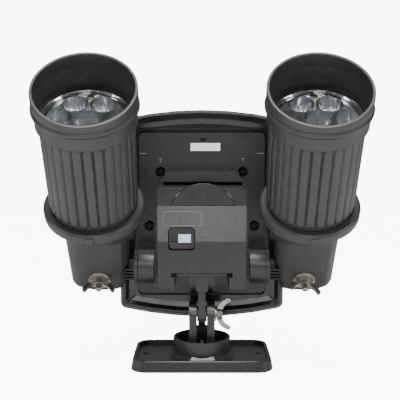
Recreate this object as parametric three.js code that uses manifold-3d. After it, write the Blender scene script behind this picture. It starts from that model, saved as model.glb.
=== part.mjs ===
// Twin-head motion floodlight on a swivel wall bracket, standing on its base plate.
// Millimetres. The origin is the centre of the underside of the base plate and +Z is up.
// The bracket, battery box and lamp nuts face -Y; the solar panel faces +Y.
import * as THREE from "three";
import { mergeVertices } from "three/addons/utils/BufferGeometryUtils.js";
import Module from "manifold-3d";

const wasm = await Module();
wasm.setup();

// ---------------------------------------------------------------- driving sizes
const GAP = 0.3; // clearance left between neighbouring pieces
const WALL = 2; // moulded wall thickness
const OVER = 1; // how far a cutting shape runs past the face it cuts

// Wall base and yoke
const BASE_WIDTH = 112;
const BASE_DEPTH = 65.4;
const BASE_HEIGHT = 8.8;
const BASE_CORNER = 12.8;
const CUP_RADIUS = 23.1;
const CUP_RIM = 20.5;
const WALL_SCREW_X = 45.7;
const WALL_SCREW_RADIUS = 2.5;
const PIVOT_Z = 38.7;
const YOKE_RADIUS = 10;
const YOKE_GAP = 8.4;
const YOKE_ARM = 6.2;
const BRACKET_PLATE = 2.5;

// Fasteners
const BOLT_RADIUS = 2.5;
const BOLT_HEAD_RADIUS = 4.6; // across the corners of the hexagon
const BOLT_HEAD = 3.2;
const SCREW_RADIUS = 1.6;
const SCREW_HEAD_RADIUS = 3.6;
const SCREW_HEAD = 2;
const NUT_HUB_RADIUS = 5;
const WASHER_RADIUS = 9; // the wide washer under a lamp's nut
const NUT_HUB = 4.6;
const NUT_SPAN = 26;
const NUT_REACH = 11.6; // how far the wing tips stand off the nut's seat

// Solar plate: a rectangle with bowed top and bottom edges
const PLATE_WIDTH = 136.6;
const PLATE_TOP = 203.9;
const PLATE_BOTTOM = 30.9;
const PLATE_BOW = 290;
const PLATE_CORNER = 5.5;
const PLATE_REAR = 22.8; // y of the rim that faces the wall side
const PLATE_DEPTH = 21.8;
const BEZEL_EDGE = 2.4;
const DISH_DEPTH = 4.4;
const DISH_SLOPE = 7;
const GLASS_THICK = 2;
const CELL_THICK = 0.5;
const BACKING_THICK = 1;

// Rear housing: a flat cover in the middle of the plate with the battery box on it
const COVER_MARGIN = 15.4; // from the side of the box to the edge of the cover
const COVER_TOP = 185.3;
const COVER_BOTTOM = 50.2;
const COVER_FACE = 26; // y of its outer face
const COVER_THICK = 3;
const COVER_CORNER = 4;
const BOX_WIDTH = 74;
const BOX_TOP = 143.6;
const BOX_BOTTOM = 60.9;
const BOX_EDGE = -6; // y of the open edge the lid closes
const LID_STEP = 7.7; // how far the lower face of the lid stands out beyond the upper
const LID_FACE = -20;
const NOTCH_WIDTH = 43;
const LEDGE_WIDTH = 66;
const LEDGE_TOP = 153;

// Arms
const ARM_AXIS_Z = 78.2;
const ARM_RADIUS = 14.3;
const BARREL_REACH = 13.6; // how far the arm barrels stand out from the box
const ARM_FLANGE = 3;
const LAMP_LEAN = 36; // degrees towards the viewer's side
const TOE_IN = 1.3; // degrees
const NECK_DROP = 4.5; // the neck of the arm sits this far below the arm axis
const EYE_DROP = 8; // and the lamp bolt this far
const NECK_HALF = 6.2;

// Lamps, heights measured along the lamp from its bolt
const LAMP_RADIUS = 36;
const SHELL = 2.1;
const CUP_DROP = 13;
const CUP_HEIGHT = 41;
const CUP_Y = 9.6; // half the depth of the oval cup
const PAD_Y = 7.9; // where the nut's flat pad stands
const FUNNEL = 27.6;
const RING = 8.1;
const FLUTED = 73.8;
const FLUTES = 28;
const COLLAR = 11.1;
const BEAD = 4.1;
const HOOD = 11.3; // bead to the middle of the slanted rim
const HOOD_SLANT = 9.7; // degrees
const LED_PITCH = 19.4;
const LENS_THICK = 2.5;
const GASKET_THICK = 2;
const REFLECTOR_HEIGHT = 21;
const BOARD_THICK = 1.6;

// ---------------------------------------------------------------- worked-out sizes
const BOLT_HOLE = BOLT_RADIUS + GAP;
const SCREW_HOLE = SCREW_RADIUS + GAP;
const YOKE_OUTSIDE = YOKE_GAP / 2 + YOKE_ARM;
const CUP_FLOOR = BASE_HEIGHT + 0.1;
const PLATE_FRONT = PLATE_REAR + PLATE_DEPTH;
const COVER_BACK = COVER_FACE + COVER_THICK;
const TRAY_FLOOR = COVER_BACK + GAP;
const TRAY_BACK = TRAY_FLOOR + WALL;
const GLASS_FRONT = PLATE_FRONT - WALL - GAP;
const CELL_FRONT = GLASS_FRONT - GLASS_THICK - GAP;
const BACKING_FRONT = CELL_FRONT - CELL_THICK;
const BOX_X = BOX_WIDTH / 2;
const COVER_WIDTH = BOX_WIDTH + 2 * COVER_MARGIN;
const ARM_FLANGE_X = BOX_X + BARREL_REACH;
const BRACKET_TOP = ARM_AXIS_Z - 2.7;
const BRACKET_X = NOTCH_WIDTH / 2 - 0.8;
const SHELF_BOTTOM = BRACKET_TOP + GAP;
const SHELF_TOP = SHELF_BOTTOM + 2.4;
const LID_TOP = BOX_TOP - 0.9;
const LID_BOTTOM = BOX_BOTTOM + 0.9;
const LID_BACK = BOX_EDGE - GAP;
const BAND_LOW = LID_BOTTOM + 0.482 * (LID_TOP - LID_BOTTOM);
const BAND_HIGH = LID_BOTTOM + 0.82 * (LID_TOP - LID_BOTTOM);
const UPPER_FACE = LID_FACE + LID_STEP;
const LAMP_X = BOX_X + LAMP_RADIUS + 9.3;
const CUP_X = 0.69 * LAMP_RADIUS;
const EYE_RADIUS = LAMP_RADIUS / 4;
const CUP_CAVITY_Y = PAD_Y - WALL;
const RING_FROM = CUP_HEIGHT + FUNNEL;
const RING_TO = RING_FROM + RING;
const FLUTE_FROM = RING_TO + 2.3;
const FLUTE_TO = RING_TO + FLUTED;
const COLLAR_TO = FLUTE_TO + COLLAR;
const BEAD_TO = COLLAR_TO + BEAD;
const RIM_MID = BEAD_TO + HOOD;
const RIB_RADIUS = LAMP_RADIUS - 3;
const BARREL_RADIUS = RIB_RADIUS - 1.2;
const COLLAR_RADIUS = LAMP_RADIUS - 0.9;
const BORE_RADIUS = BARREL_RADIUS - WALL;
const LENS_RADIUS = LAMP_RADIUS - 3;
const LENS_BACK = COLLAR_TO - 9.6;
const GASKET_FROM = LENS_BACK + LENS_THICK + GAP;
const REFLECTOR_TO = LENS_BACK - GAP;
const BOARD_TO = REFLECTOR_TO - REFLECTOR_HEIGHT - GAP;
const SEAT_RING_TO = BOARD_TO - BOARD_THICK - GAP;
const LED_CUP_RADIUS = LED_PITCH / 2 - 0.5;
const REFLECTOR_SCREW_Y = BORE_RADIUS - 3.6;

// Smoothness of round shapes, sides per circle
const LARGE = 32;
const MEDIUM = 18;
const SMALL = 10;

// ---------------------------------------------------------------- materials
function finish(colour, roughness, metalness = 0) {
  return new THREE.MeshStandardMaterial({ color: colour, roughness, metalness });
}
const housingPlastic = () => finish("#454342", 0.45);
const lampPlastic = () => finish("#4b4a49", 0.55);
const trayPlastic = () => finish("#333130", 0.3);
const bezelPlastic = () => finish("#55595c", 0.4);
const nickel = () => finish("#b3afa6", 0.35, 1);
const blackSteel = () => finish("#3b3a38", 0.4, 0.9);
const brass = () => finish("#b08f52", 0.35, 1);
const boardGreen = () => finish("#1f4a30", 0.6);
const clearPlastic = () => finish("#dfe4e8", 0.08);
const rubber = () => finish("#1d1d1d", 0.85);

// ---------------------------------------------------------------- solid helpers
// A closed three.js geometry as a solid whose faces point outwards.
function solid(geometry) {
  const bare = geometry.clone();
  bare.deleteAttribute("normal");
  bare.deleteAttribute("uv");
  const merged = mergeVertices(bare, 1e-4);
  const build = (triVerts) =>
    new wasm.Manifold(
      new wasm.Mesh({
        numProp: 3,
        vertProperties: new Float32Array(merged.attributes.position.array),
        triVerts,
      }),
    );
  const corners = new Uint32Array(merged.index.array);
  const made = build(corners);
  return made.volume() < 0 ? build(corners.reverse()) : made;
}

const join = (first, ...rest) => rest.reduce((whole, piece) => whole.add(piece), first);
const cut = (first, ...rest) => rest.reduce((whole, piece) => whole.subtract(piece), first);

// The named mesh of a solid.
function piece(name, body, material) {
  const { vertProperties, triVerts } = body.getMesh();
  const geometry = new THREE.BufferGeometry();
  geometry.setAttribute("position", new THREE.BufferAttribute(vertProperties, 3));
  geometry.setIndex(new THREE.BufferAttribute(triVerts, 1));
  const shaded = geometry.toNonIndexed();
  shaded.computeVertexNormals();
  const mesh = new THREE.Mesh(shaded, material);
  mesh.name = name;
  return mesh;
}

// A box between two limits on each axis, in either order.
function block([x0, x1], [y0, y1], [z0, z1]) {
  const size = [Math.abs(x1 - x0), Math.abs(y1 - y0), Math.abs(z1 - z0)];
  const geometry = new THREE.BoxGeometry(...size);
  return solid(geometry.translate((x0 + x1) / 2, (y0 + y1) / 2, (z0 + z1) / 2));
}

// A round bar along "x", "y" or "z", through the point at, between two positions on that axis.
function bar(axis, radius, [from, to], at, sides = MEDIUM, endRadius = radius) {
  const geometry = new THREE.CylinderGeometry(endRadius, radius, to - from, sides);
  if (axis === "x") geometry.rotateZ(-Math.PI / 2);
  if (axis === "z") geometry.rotateX(Math.PI / 2);
  const centre = new THREE.Vector3(...at);
  centre[axis] = (from + to) / 2;
  return solid(geometry.translate(centre.x, centre.y, centre.z));
}

// Two distances out to one side of the middle, as a span from the lower to the higher.
const sideways = (side, from, to) => [side * from, side * to].sort((a, b) => a - b);

// A flat outline in x and z, given thickness along y.
function slab(shape, [y0, y1], curveSegments = 3) {
  const options = { depth: y1 - y0, bevelEnabled: false, curveSegments };
  const geometry = new THREE.ExtrudeGeometry(shape, options);
  return solid(geometry.rotateX(Math.PI / 2).translate(0, y1, 0));
}

// A flat outline in x and y, given height along z.
function sheet(shape, [z0, z1], curveSegments = 4) {
  const options = { depth: z1 - z0, bevelEnabled: false, curveSegments };
  return solid(new THREE.ExtrudeGeometry(shape, options).translate(0, 0, z0));
}

// A body of revolution about z. The profile of [radius, z] points starts and ends on the
// axis, or closes on itself.
function turned(profile, sides = MEDIUM) {
  const points = profile.map(([radius, z]) => new THREE.Vector2(radius, z));
  return solid(new THREE.LatheGeometry(points, sides).rotateX(Math.PI / 2));
}

// Turns a solid about the x, y or z axis through the origin, in degrees.
const spun = (body, x, y = 0, z = 0) => body.rotate([x, y, z]);

// A skin through rings that all hold the same number of points. It is capped at both ends,
// or closed from the last ring back to the first.
function loft(rings, closed = false) {
  const count = rings[0].length;
  const steps = closed ? rings.length : rings.length - 1;
  const faces = [];
  for (let i = 0; i < steps; i++) {
    const low = i * count;
    const high = ((i + 1) % rings.length) * count;
    for (let j = 0; j < count; j++) {
      const k = (j + 1) % count;
      faces.push(low + j, low + k, high + k, low + j, high + k, high + j);
    }
  }
  if (!closed) {
    const last = (rings.length - 1) * count;
    for (let j = 1; j < count - 1; j++) {
      faces.push(0, j + 1, j, last, last + j, last + j + 1);
    }
  }
  const geometry = new THREE.BufferGeometry();
  const places = new Float32Array(rings.flat(2));
  geometry.setAttribute("position", new THREE.BufferAttribute(places, 3));
  geometry.setIndex(faces);
  return solid(geometry);
}

// A ring at one height. Power 2 is an ellipse, and a higher power is squarer.
function oval(halfX, halfY, z, power = 2, slant = 0) {
  const bend = (value) => Math.sign(value) * Math.abs(value) ** (2 / power);
  return Array.from({ length: LARGE }, (_, i) => {
    const turn = (2 * Math.PI * i) / LARGE;
    const y = halfY * bend(Math.sin(turn));
    return [halfX * bend(Math.cos(turn)), y, z + slant * y];
  });
}

function roundedBox(x0, x1, y0, y1, radius) {
  const shape = new THREE.Shape();
  shape.absarc(x1 - radius, y1 - radius, radius, 0, Math.PI / 2);
  shape.absarc(x0 + radius, y1 - radius, radius, Math.PI / 2, Math.PI);
  shape.absarc(x0 + radius, y0 + radius, radius, Math.PI, 1.5 * Math.PI);
  shape.absarc(x1 - radius, y0 + radius, radius, 1.5 * Math.PI, 2 * Math.PI);
  return shape;
}

// The points of a shape, with those that fall on the next one left out.
function cornersOf(shape) {
  const points = shape.getPoints(3);
  return points.filter((p, i) => p.distanceTo(points[(i + 1) % points.length]) > 1e-6);
}

// The points of a shape as one ring, lying flat at a height z or standing at a depth y.
const ringFlat = (shape, z) => cornersOf(shape).map((p) => [p.x, p.y, z]);
const ringUpright = (shape, y) => cornersOf(shape).map((p) => [p.x, y, p.y]);

// The outline of the solar plate, drawn in by an inset. Each bowed edge is an arc about a
// far centre, and each corner an arc that touches it and the straight side.
function plateOutline(inset) {
  const half = PLATE_WIDTH / 2 - inset;
  const bow = PLATE_BOW - inset;
  const corner = Math.max(PLATE_CORNER - inset, 2);
  const reach = Math.sqrt((bow - corner) ** 2 - (half - corner) ** 2);
  const rise = Math.atan2(reach, half - corner);
  const topCentre = PLATE_TOP - PLATE_BOW;
  const bottomCentre = PLATE_BOTTOM + PLATE_BOW;
  const shape = new THREE.Shape();
  shape.absarc(half - corner, topCentre + reach, corner, 0, rise);
  shape.absarc(0, topCentre, bow, rise, Math.PI - rise);
  shape.absarc(corner - half, topCentre + reach, corner, Math.PI - rise, Math.PI);
  shape.absarc(corner - half, bottomCentre - reach, corner, Math.PI, Math.PI + rise);
  shape.absarc(0, bottomCentre, bow, Math.PI + rise, 2 * Math.PI - rise);
  shape.absarc(half - corner, bottomCentre - reach, corner, -rise, 0);
  return shape;
}

// ---------------------------------------------------------------- fasteners
// A hexagon bolt along z: the underside of its head is at z = 0 and the shank points up.
function bolt(length) {
  const tip = 0.6;
  const shank = turned(
    [
      [0, -BOLT_HEAD / 2],
      [BOLT_RADIUS, -BOLT_HEAD / 2],
      [BOLT_RADIUS, length - tip],
      [BOLT_RADIUS - tip, length],
      [0, length],
    ],
    SMALL,
  );
  return join(shank, bar("z", BOLT_HEAD_RADIUS, [-BOLT_HEAD, 0], [0, 0, 0], 6));
}

// A pan-head slotted screw along z: head above z = 0, point below.
function screw(length, radius = SCREW_RADIUS, headRadius = SCREW_HEAD_RADIUS, head = SCREW_HEAD) {
  const body = turned(
    [
      [0, -length],
      [radius * 0.5, -length],
      [radius, radius - length],
      [radius, 0],
      [headRadius, 0],
      [headRadius, head * 0.5],
      [headRadius * 0.7, head],
      [0, head],
    ],
    SMALL,
  );
  const slot = headRadius * 0.2;
  return cut(body, block([-headRadius, headRadius], [-slot, slot], [head * 0.4, head + OVER]));
}

function washer(radius, thick = 1) {
  return turned(
    [
      [BOLT_HOLE, 0],
      [radius, 0],
      [radius, thick],
      [BOLT_HOLE, thick],
      [BOLT_HOLE, 0],
    ],
    MEDIUM,
  );
}

// A wing nut seated on z = 0, with its wings in the x-z plane.
function wingNut() {
  const tip = NUT_SPAN / 2;
  const thick = 2.2;
  const wing = new THREE.Shape();
  wing.moveTo(BOLT_HOLE + 0.4, 0.5);
  wing.lineTo(NUT_HUB_RADIUS, 0.5);
  wing.quadraticCurveTo(tip - 3.4, 1.2, tip, NUT_REACH - 3);
  wing.quadraticCurveTo(tip + 0.2, NUT_REACH, tip - 2.4, NUT_REACH);
  wing.quadraticCurveTo(tip - 5.4, NUT_HUB + 0.6, BOLT_HOLE + 0.4, NUT_HUB);
  const right = slab(wing, [-thick / 2, thick / 2], 3);
  const hub = turned(
    [
      [0, 0],
      [NUT_HUB_RADIUS, 0],
      [NUT_HUB_RADIUS - 0.8, NUT_HUB],
      [0, NUT_HUB],
    ],
    SMALL,
  );
  const bore = bar("z", BOLT_HOLE, [-OVER, NUT_HUB + OVER], [0, 0, 0], SMALL);
  return cut(join(hub, right, spun(right, 0, 0, 180)), bore);
}

// ---------------------------------------------------------------- base and yoke
function basePlate() {
  const draft = 1.4;
  const rim = 2.8;
  const floor = BASE_HEIGHT - 2.9;
  const outline = (inset) =>
    roundedBox(
      inset - BASE_WIDTH / 2,
      BASE_WIDTH / 2 - inset,
      inset - BASE_DEPTH / 2,
      BASE_DEPTH / 2 - inset,
      BASE_CORNER - inset,
    );
  const body = loft([
    ringFlat(outline(0), 0),
    ringFlat(outline(0), 1),
    ringFlat(outline(draft), BASE_HEIGHT - 0.5),
    ringFlat(outline(draft + 0.5), BASE_HEIGHT),
  ]);
  const dish = sheet(outline(draft + rim), [floor, BASE_HEIGHT + OVER]);
  const underside = cut(
    sheet(outline(3), [-OVER, floor - 2.9]),
    bar("z", CUP_RADIUS / 2, [-2 * OVER, floor], [0, 0, 0]),
    ...[-1, 1].map((side) => bar("z", 6, [-2 * OVER, floor], [side * WALL_SCREW_X, 0, 0], SMALL)),
    block([-BASE_WIDTH, BASE_WIDTH], [-0.8, 0.8], [-2 * OVER, floor]),
  );
  const plinthFoot = (CUP_RADIUS + 2.9) / Math.cos(Math.PI / 8);
  const plinthHeight = [floor - 0.2, CUP_FLOOR + 0.8];
  const octagon = bar("z", plinthFoot, plinthHeight, [0, 0, 0], 8, CUP_RADIUS + 0.6);
  const plinth = spun(octagon, 0, 0, 22.5);
  const cup = bar("z", CUP_RADIUS, [floor - 0.2, CUP_RIM], [0, 0, 0], LARGE);
  const hollow = bar("z", CUP_RADIUS - WALL, [CUP_FLOOR, CUP_RIM + OVER], [0, 0, 0], LARGE);
  const screwHole = bar("z", BOLT_HOLE, [WALL, CUP_FLOOR + OVER], [0, 0, 0], SMALL);
  const wallHoles = [-1, 1].map((side) =>
    bar("z", WALL_SCREW_RADIUS, [-OVER, BASE_HEIGHT], [side * WALL_SCREW_X, 0, 0], SMALL),
  );
  return cut(join(cut(body, dish), plinth, cup), hollow, underside, screwHole, ...wallHoles);
}

const DISC_TOP = CUP_FLOOR + GAP + 4.8;

function yoke() {
  const disc = bar("z", CUP_RADIUS - WALL - 0.5, [CUP_FLOOR + GAP, DISC_TOP], [0, 0, 0], LARGE);
  const arms = [-1, 1].flatMap((side) => {
    const span = sideways(side, YOKE_GAP / 2, YOKE_OUTSIDE);
    return [
      block(span, [-YOKE_RADIUS, YOKE_RADIUS], [DISC_TOP - 0.5, PIVOT_Z]),
      bar("x", YOKE_RADIUS, span, [0, 0, PIVOT_Z]),
    ];
  });
  // A web at the back ties the two arms together below the tongue.
  const webTop = PIVOT_Z - YOKE_RADIUS - 1.5;
  const web = block(
    [-YOKE_GAP / 2 - 1, YOKE_GAP / 2 + 1],
    [YOKE_GAP / 2 + 0.6, YOKE_RADIUS - 0.5],
    [DISC_TOP - 0.5, webTop],
  );
  const through = bar("x", BOLT_HOLE, [-BASE_WIDTH, BASE_WIDTH], [0, 0, PIVOT_Z], SMALL);
  const pocketDepth = [-YOKE_OUTSIDE - OVER, GAP + BOLT_HEAD - YOKE_OUTSIDE];
  const hexPocket = spun(
    bar("z", BOLT_HEAD_RADIUS + 2 * GAP, pocketDepth, [0, 0, 0], 6),
    0,
    90,
  ).translate([0, 0, PIVOT_Z]);
  const swivelHole = bar("z", BOLT_HOLE, [0, DISC_TOP + OVER], [0, 0, 0], SMALL);
  return cut(join(disc, web, ...arms), through, hexPocket, swivelHole);
}

// The swivel screw goes down between the yoke arms into a blind hole in the base.
function swivelScrew() {
  const shank = DISC_TOP + GAP - WALL - 1;
  return screw(shank, BOLT_RADIUS, YOKE_GAP / 2 - 0.4, 3).translate([0, 0, DISC_TOP + GAP]);
}

const TILT_SEAT = YOKE_OUTSIDE + GAP;
const WASHER_THICK = 1;

function tiltBolt() {
  const head = -YOKE_OUTSIDE + BOLT_HEAD;
  return spun(bolt(TILT_SEAT + 5.8 - head), 0, 90).translate([head, 0, PIVOT_Z]);
}

function tiltBracket() {
  const half = 3;
  const neckTop = BOX_BOTTOM - 0.4;
  const plateBottom = BRACKET_TOP - BRACKET_PLATE;
  const depth = [LID_FACE + 2, COVER_FACE - 6];
  const padHalf = YOKE_GAP / 2 - GAP;
  const boss = bar("x", YOKE_RADIUS, [-half, half], [0, 0, PIVOT_Z]);
  const pads = bar("x", YOKE_RADIUS * 0.6, [-padHalf, padHalf], [0, 0, PIVOT_Z]);
  const neck = block([-half, half], [-8, 8], [PIVOT_Z, neckTop + OVER]);
  const rib = block([-2.4, 2.4], [-YOKE_RADIUS - 1, -7], [PIVOT_Z - 1.4, neckTop + OVER]);
  const root = block([-4.7, 4.7], [depth[0] + 2, 13], [neckTop, plateBottom + 0.5]);
  const plate = sheet(
    roundedBox(-BRACKET_X, BRACKET_X, depth[0], depth[1], 2),
    [plateBottom, BRACKET_TOP],
    2,
  );
  const through = bar("x", BOLT_HOLE, [-YOKE_GAP, YOKE_GAP], [0, 0, PIVOT_Z], SMALL);
  const screwHoles = BRACKET_SCREWS.map(([x, y]) =>
    bar("z", SCREW_HOLE, [plateBottom - OVER, BRACKET_TOP + OVER], [x, y, 0], SMALL),
  );
  return cut(join(boss, pads, neck, rib, root, plate), through, ...screwHoles);
}

const BRACKET_SCREWS = [-1, 1].map((side) => [side * 0.62 * BRACKET_X, 0]);

// Two screws hold the bracket plate up against the floor of the battery box.
function bracketScrew([x, y]) {
  const seat = BRACKET_TOP - BRACKET_PLATE - GAP;
  return spun(screw(7.6), 180).translate([x, y, seat]);
}

// ---------------------------------------------------------------- rear housing
// Where the four large screws join the housing to the tray.
const UPPER_SCREW = { x: BOX_X - 2.7, z: LEDGE_TOP - 0.4 };
const LOWER_SCREW = { x: BOX_X + 7.1, z: ARM_AXIS_Z + ARM_RADIUS + 14.9 };
const COVER_SCREWS = [-1, 1].flatMap((side) =>
  [UPPER_SCREW, LOWER_SCREW].map(({ x, z }) => [side * x, z]),
);
const COUNTERBORE = 4.6;
const WELL_RADIUS = COUNTERBORE + 1.6;
const WELL_FLOOR = COVER_BACK + 2.4;
const WELL_END = WELL_FLOOR + WALL;
const TAB_SCREW = [1, COVER_TOP - 5.5];
const TAB_HOLE = 1.3;

// The box outline: rounded at the top and with its two bottom corners cut off.
function boxOutline(inset, cutCorner = 3.4) {
  const half = BOX_X - inset;
  const top = BOX_TOP - inset;
  const bottom = BOX_BOTTOM + inset;
  const radius = 3.4;
  const shape = new THREE.Shape();
  shape.moveTo(cutCorner - half, bottom);
  shape.lineTo(half - cutCorner, bottom);
  shape.lineTo(half, bottom + cutCorner);
  shape.absarc(half - radius, top - radius, radius, 0, Math.PI / 2);
  shape.absarc(radius - half, top - radius, radius, Math.PI / 2, Math.PI);
  shape.lineTo(-half, bottom + cutCorner);
  shape.closePath();
  return shape;
}

function coverSheet() {
  const outline = (inset) =>
    roundedBox(
      inset - COVER_WIDTH / 2,
      COVER_WIDTH / 2 - inset,
      COVER_BOTTOM + inset,
      COVER_TOP - inset,
      COVER_CORNER - Math.min(inset, 2),
    );
  const step = 0.8;
  const border = slab(outline(0), [COVER_FACE + step, COVER_BACK]);
  const field = slab(outline(6.5), [COVER_FACE, COVER_BACK]);
  const tab = block(
    [TAB_SCREW[0] - 4.35, TAB_SCREW[0] + 4.35],
    [COVER_FACE, COVER_BACK],
    [TAB_SCREW[1] - 5, COVER_TOP - 0.6],
  );
  return join(border, field, tab);
}

// The round barrel that carries an arm, blended back into the flat cover.
function armBarrel(side) {
  const inner = BOX_X + 1.1;
  const span = sideways(side, inner, ARM_FLANGE_X);
  const base = [ARM_AXIS_Z - ARM_RADIUS - 0.7, ARM_AXIS_Z + ARM_RADIUS];
  const root = sideways(side, BOX_X - 1, inner + 1);
  return join(
    bar("x", ARM_RADIUS, span, [0, 0, ARM_AXIS_Z], LARGE),
    block(span, [0, COVER_FACE + OVER], base),
    block(root, [BOX_EDGE + 0.6, COVER_FACE + OVER], base),
  );
}

const SPIGOT_RADIUS = 9;
const SPIGOT_LENGTH = 9;

// The shell of the battery box, with the ledge over it and the slot the lid latches in.
function boxShell() {
  const ledgeX = LEDGE_WIDTH / 2;
  const intoCover = COVER_FACE + OVER;
  const shell = slab(boxOutline(0), [BOX_EDGE, intoCover]);
  const ledge = block([-ledgeX, ledgeX], [BOX_EDGE + 8, intoCover], [BOX_TOP - OVER, LEDGE_TOP]);
  const latchSlot = block(
    [WALL - ledgeX, ledgeX - 0.8],
    [BOX_EDGE, COVER_FACE - WALL],
    [BOX_TOP - 0.2, BOX_TOP + 2.4],
  );
  return { solid: join(shell, ledge), latchSlot };
}

// What is taken out of the box: the cell compartment, the bracket's notch and two pockets.
function boxHollows(notchX) {
  const open = BOX_EDGE - OVER;
  const boxX = BOX_X - WALL;
  return [
    block([-boxX, boxX], [open, COVER_FACE], [SHELF_TOP, BOX_TOP - WALL]),
    block([-notchX, notchX], [open, COVER_FACE - 5], [BOX_BOTTOM - OVER, SHELF_BOTTOM]),
    ...[-1, 1].map((side) =>
      block(
        sideways(side, notchX + WALL, boxX),
        [open, COVER_FACE],
        [BOX_BOTTOM + 3.4, SHELF_BOTTOM],
      ),
    ),
  ];
}

// What stands inside the box: two steps, the bracket screws' bosses, the sensor board's
// posts and the arm that carries the switch.
function boxFittings(notchX) {
  const steps = [0.28, 0.62].map((part, i) => {
    const z = BOX_BOTTOM + part * (SHELF_BOTTOM - BOX_BOTTOM);
    const y = [COVER_FACE - 9 + 2 * i, COVER_FACE];
    return block([-notchX - OVER, notchX + OVER], y, [z, z + 1.6]);
  });
  const bosses = BRACKET_SCREWS.map(([x, y]) =>
    bar("z", 3.6, [SHELF_TOP - 0.5, SHELF_TOP + 3.2], [x, y, 0], SMALL),
  );
  const posts = SENSOR_POSTS.map(([x, z]) =>
    bar("y", 2, [SENSOR_BOARD[1] + GAP, COVER_FACE + OVER], [x, 0, z], SMALL),
  );
  const switchArm = block(
    [OVER - BOX_X, SWITCH.x - SWITCH.width / 2 - GAP],
    [BOX_EDGE + 1, BOX_EDGE + 9],
    [SWITCH.z - 5, SWITCH.z + 5],
  );
  return [...steps, ...bosses, ...posts, switchArm];
}

// The holes for an arm's spigot and its screw, and the room inside to drive the screw.
function armHoles(side) {
  const spigot = sideways(side, ARM_FLANGE_X - SPIGOT_LENGTH - GAP, ARM_FLANGE_X + OVER);
  const hole = sideways(side, BOX_X - WALL - OVER, ARM_FLANGE_X);
  const room = sideways(side, BOX_X - 7.6, BOX_X - WALL);
  return [
    bar("x", SPIGOT_RADIUS + GAP, spigot, [0, 0, ARM_AXIS_Z]),
    bar("x", BOLT_HOLE, hole, [0, 0, ARM_AXIS_Z], SMALL),
    block(room, [BOX_EDGE - OVER, 6.4], [ARM_AXIS_Z - 6, ARM_AXIS_Z + 6]),
  ];
}

function rearHousing() {
  const notchX = NOTCH_WIDTH / 2 + GAP;
  const recessX = YOKE_OUTSIDE + 1.2;
  const box = boxShell();
  const wells = COVER_SCREWS.map(([x, z]) =>
    bar("y", WELL_RADIUS, [COVER_BACK - OVER, WELL_END], [x, 0, z], MEDIUM),
  );
  const counterbores = COVER_SCREWS.flatMap(([x, z]) => [
    bar("y", COUNTERBORE, [BOX_EDGE, WELL_FLOOR], [x, 0, z], MEDIUM),
    bar("y", SCREW_HOLE, [COVER_FACE, WELL_END + OVER], [x, 0, z], SMALL),
  ]);
  const recess = block(
    [-recessX, recessX],
    [BOX_EDGE - OVER, COVER_BACK + OVER],
    [COVER_BOTTOM - OVER, BOX_BOTTOM + 5.6],
  );
  const screwPilots = BRACKET_SCREWS.map(([x, y]) =>
    bar("z", SCREW_HOLE, [SHELF_BOTTOM - OVER, SHELF_TOP + 2.6], [x, y, 0], SMALL),
  );
  const tabAt = [TAB_SCREW[0], 0, TAB_SCREW[1]];
  const tabHole = bar("y", TAB_HOLE, [COVER_FACE - OVER, COVER_BACK + OVER], tabAt, SMALL);
  const holes = [...armHoles(-1), ...armHoles(1), ...counterbores, ...screwPilots, tabHole];
  const walls = join(coverSheet(), box.solid, ...wells);
  const hollowed = cut(walls, ...boxHollows(notchX), box.latchSlot);
  const fitted = join(hollowed, ...boxFittings(notchX), armBarrel(-1), armBarrel(1));
  return cut(fitted, recess, ...holes);
}

function coverScrew([x, z]) {
  return spun(screw(5.4), 90).translate([x, WELL_FLOOR - GAP, z]);
}

function tabScrew() {
  const one = spun(screw(COVER_THICK + WALL + GAP, 1, 2, 1), 90);
  return one.translate([TAB_SCREW[0], COVER_FACE - GAP, TAB_SCREW[1]]);
}

function infoLabel() {
  const width = 24.5;
  const height = 6.5;
  const centre = [3, COVER_TOP - 12];
  const x = [centre[0] - width / 2, centre[0] + width / 2];
  const z = [centre[1] - height / 2, centre[1] + height / 2];
  return block(x, [COVER_FACE - GAP - 0.3, COVER_FACE - GAP], z);
}

// ---------------------------------------------------------------- battery box
// The lid stands out in two flat bands joined by a sloping one.
function lidBlank(inset) {
  const profile = new THREE.Shape();
  profile.moveTo(LID_BACK + 2 * inset, LID_BOTTOM + inset);
  profile.lineTo(LID_BACK + 2 * inset, LID_TOP - inset);
  profile.lineTo(UPPER_FACE + inset, LID_TOP - inset);
  profile.lineTo(UPPER_FACE + inset, BAND_HIGH - inset * 0.2);
  profile.lineTo(LID_FACE + inset, BAND_LOW);
  profile.lineTo(LID_FACE + inset, LID_BOTTOM + inset);
  const options = { depth: BOX_WIDTH, bevelEnabled: false };
  const band = new THREE.ExtrudeGeometry(profile, options).translate(0, 0, -BOX_WIDTH / 2);
  // The profile is drawn as (y, z) and swept along x.
  band.applyMatrix4(new THREE.Matrix4().set(0, 0, 1, 0, 1, 0, 0, 0, 0, 1, 0, 0, 0, 0, 0, 1));
  const draft = 1.5;
  const outer = loft([
    ringUpright(boxOutline(0.9 + draft + inset, 3), LID_FACE - OVER),
    ringUpright(boxOutline(0.9 + inset, 3), LID_BACK + OVER),
  ]);
  return solid(band).intersect(outer);
}

const SWITCH = { x: -15.8, z: ARM_AXIS_Z + 24.5, width: 20.4, height: 17.4 };
const WINDOW = { x: 1, z: ARM_AXIS_Z + 40.6, radius: 27 };

// The part of a disc above the sloping band of the lid.
function windowOutline(radius, cutAt) {
  const start = Math.asin((cutAt - WINDOW.z) / radius);
  const shape = new THREE.Shape();
  shape.absarc(WINDOW.x, WINDOW.z, radius, start, Math.PI - start);
  return shape;
}

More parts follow.
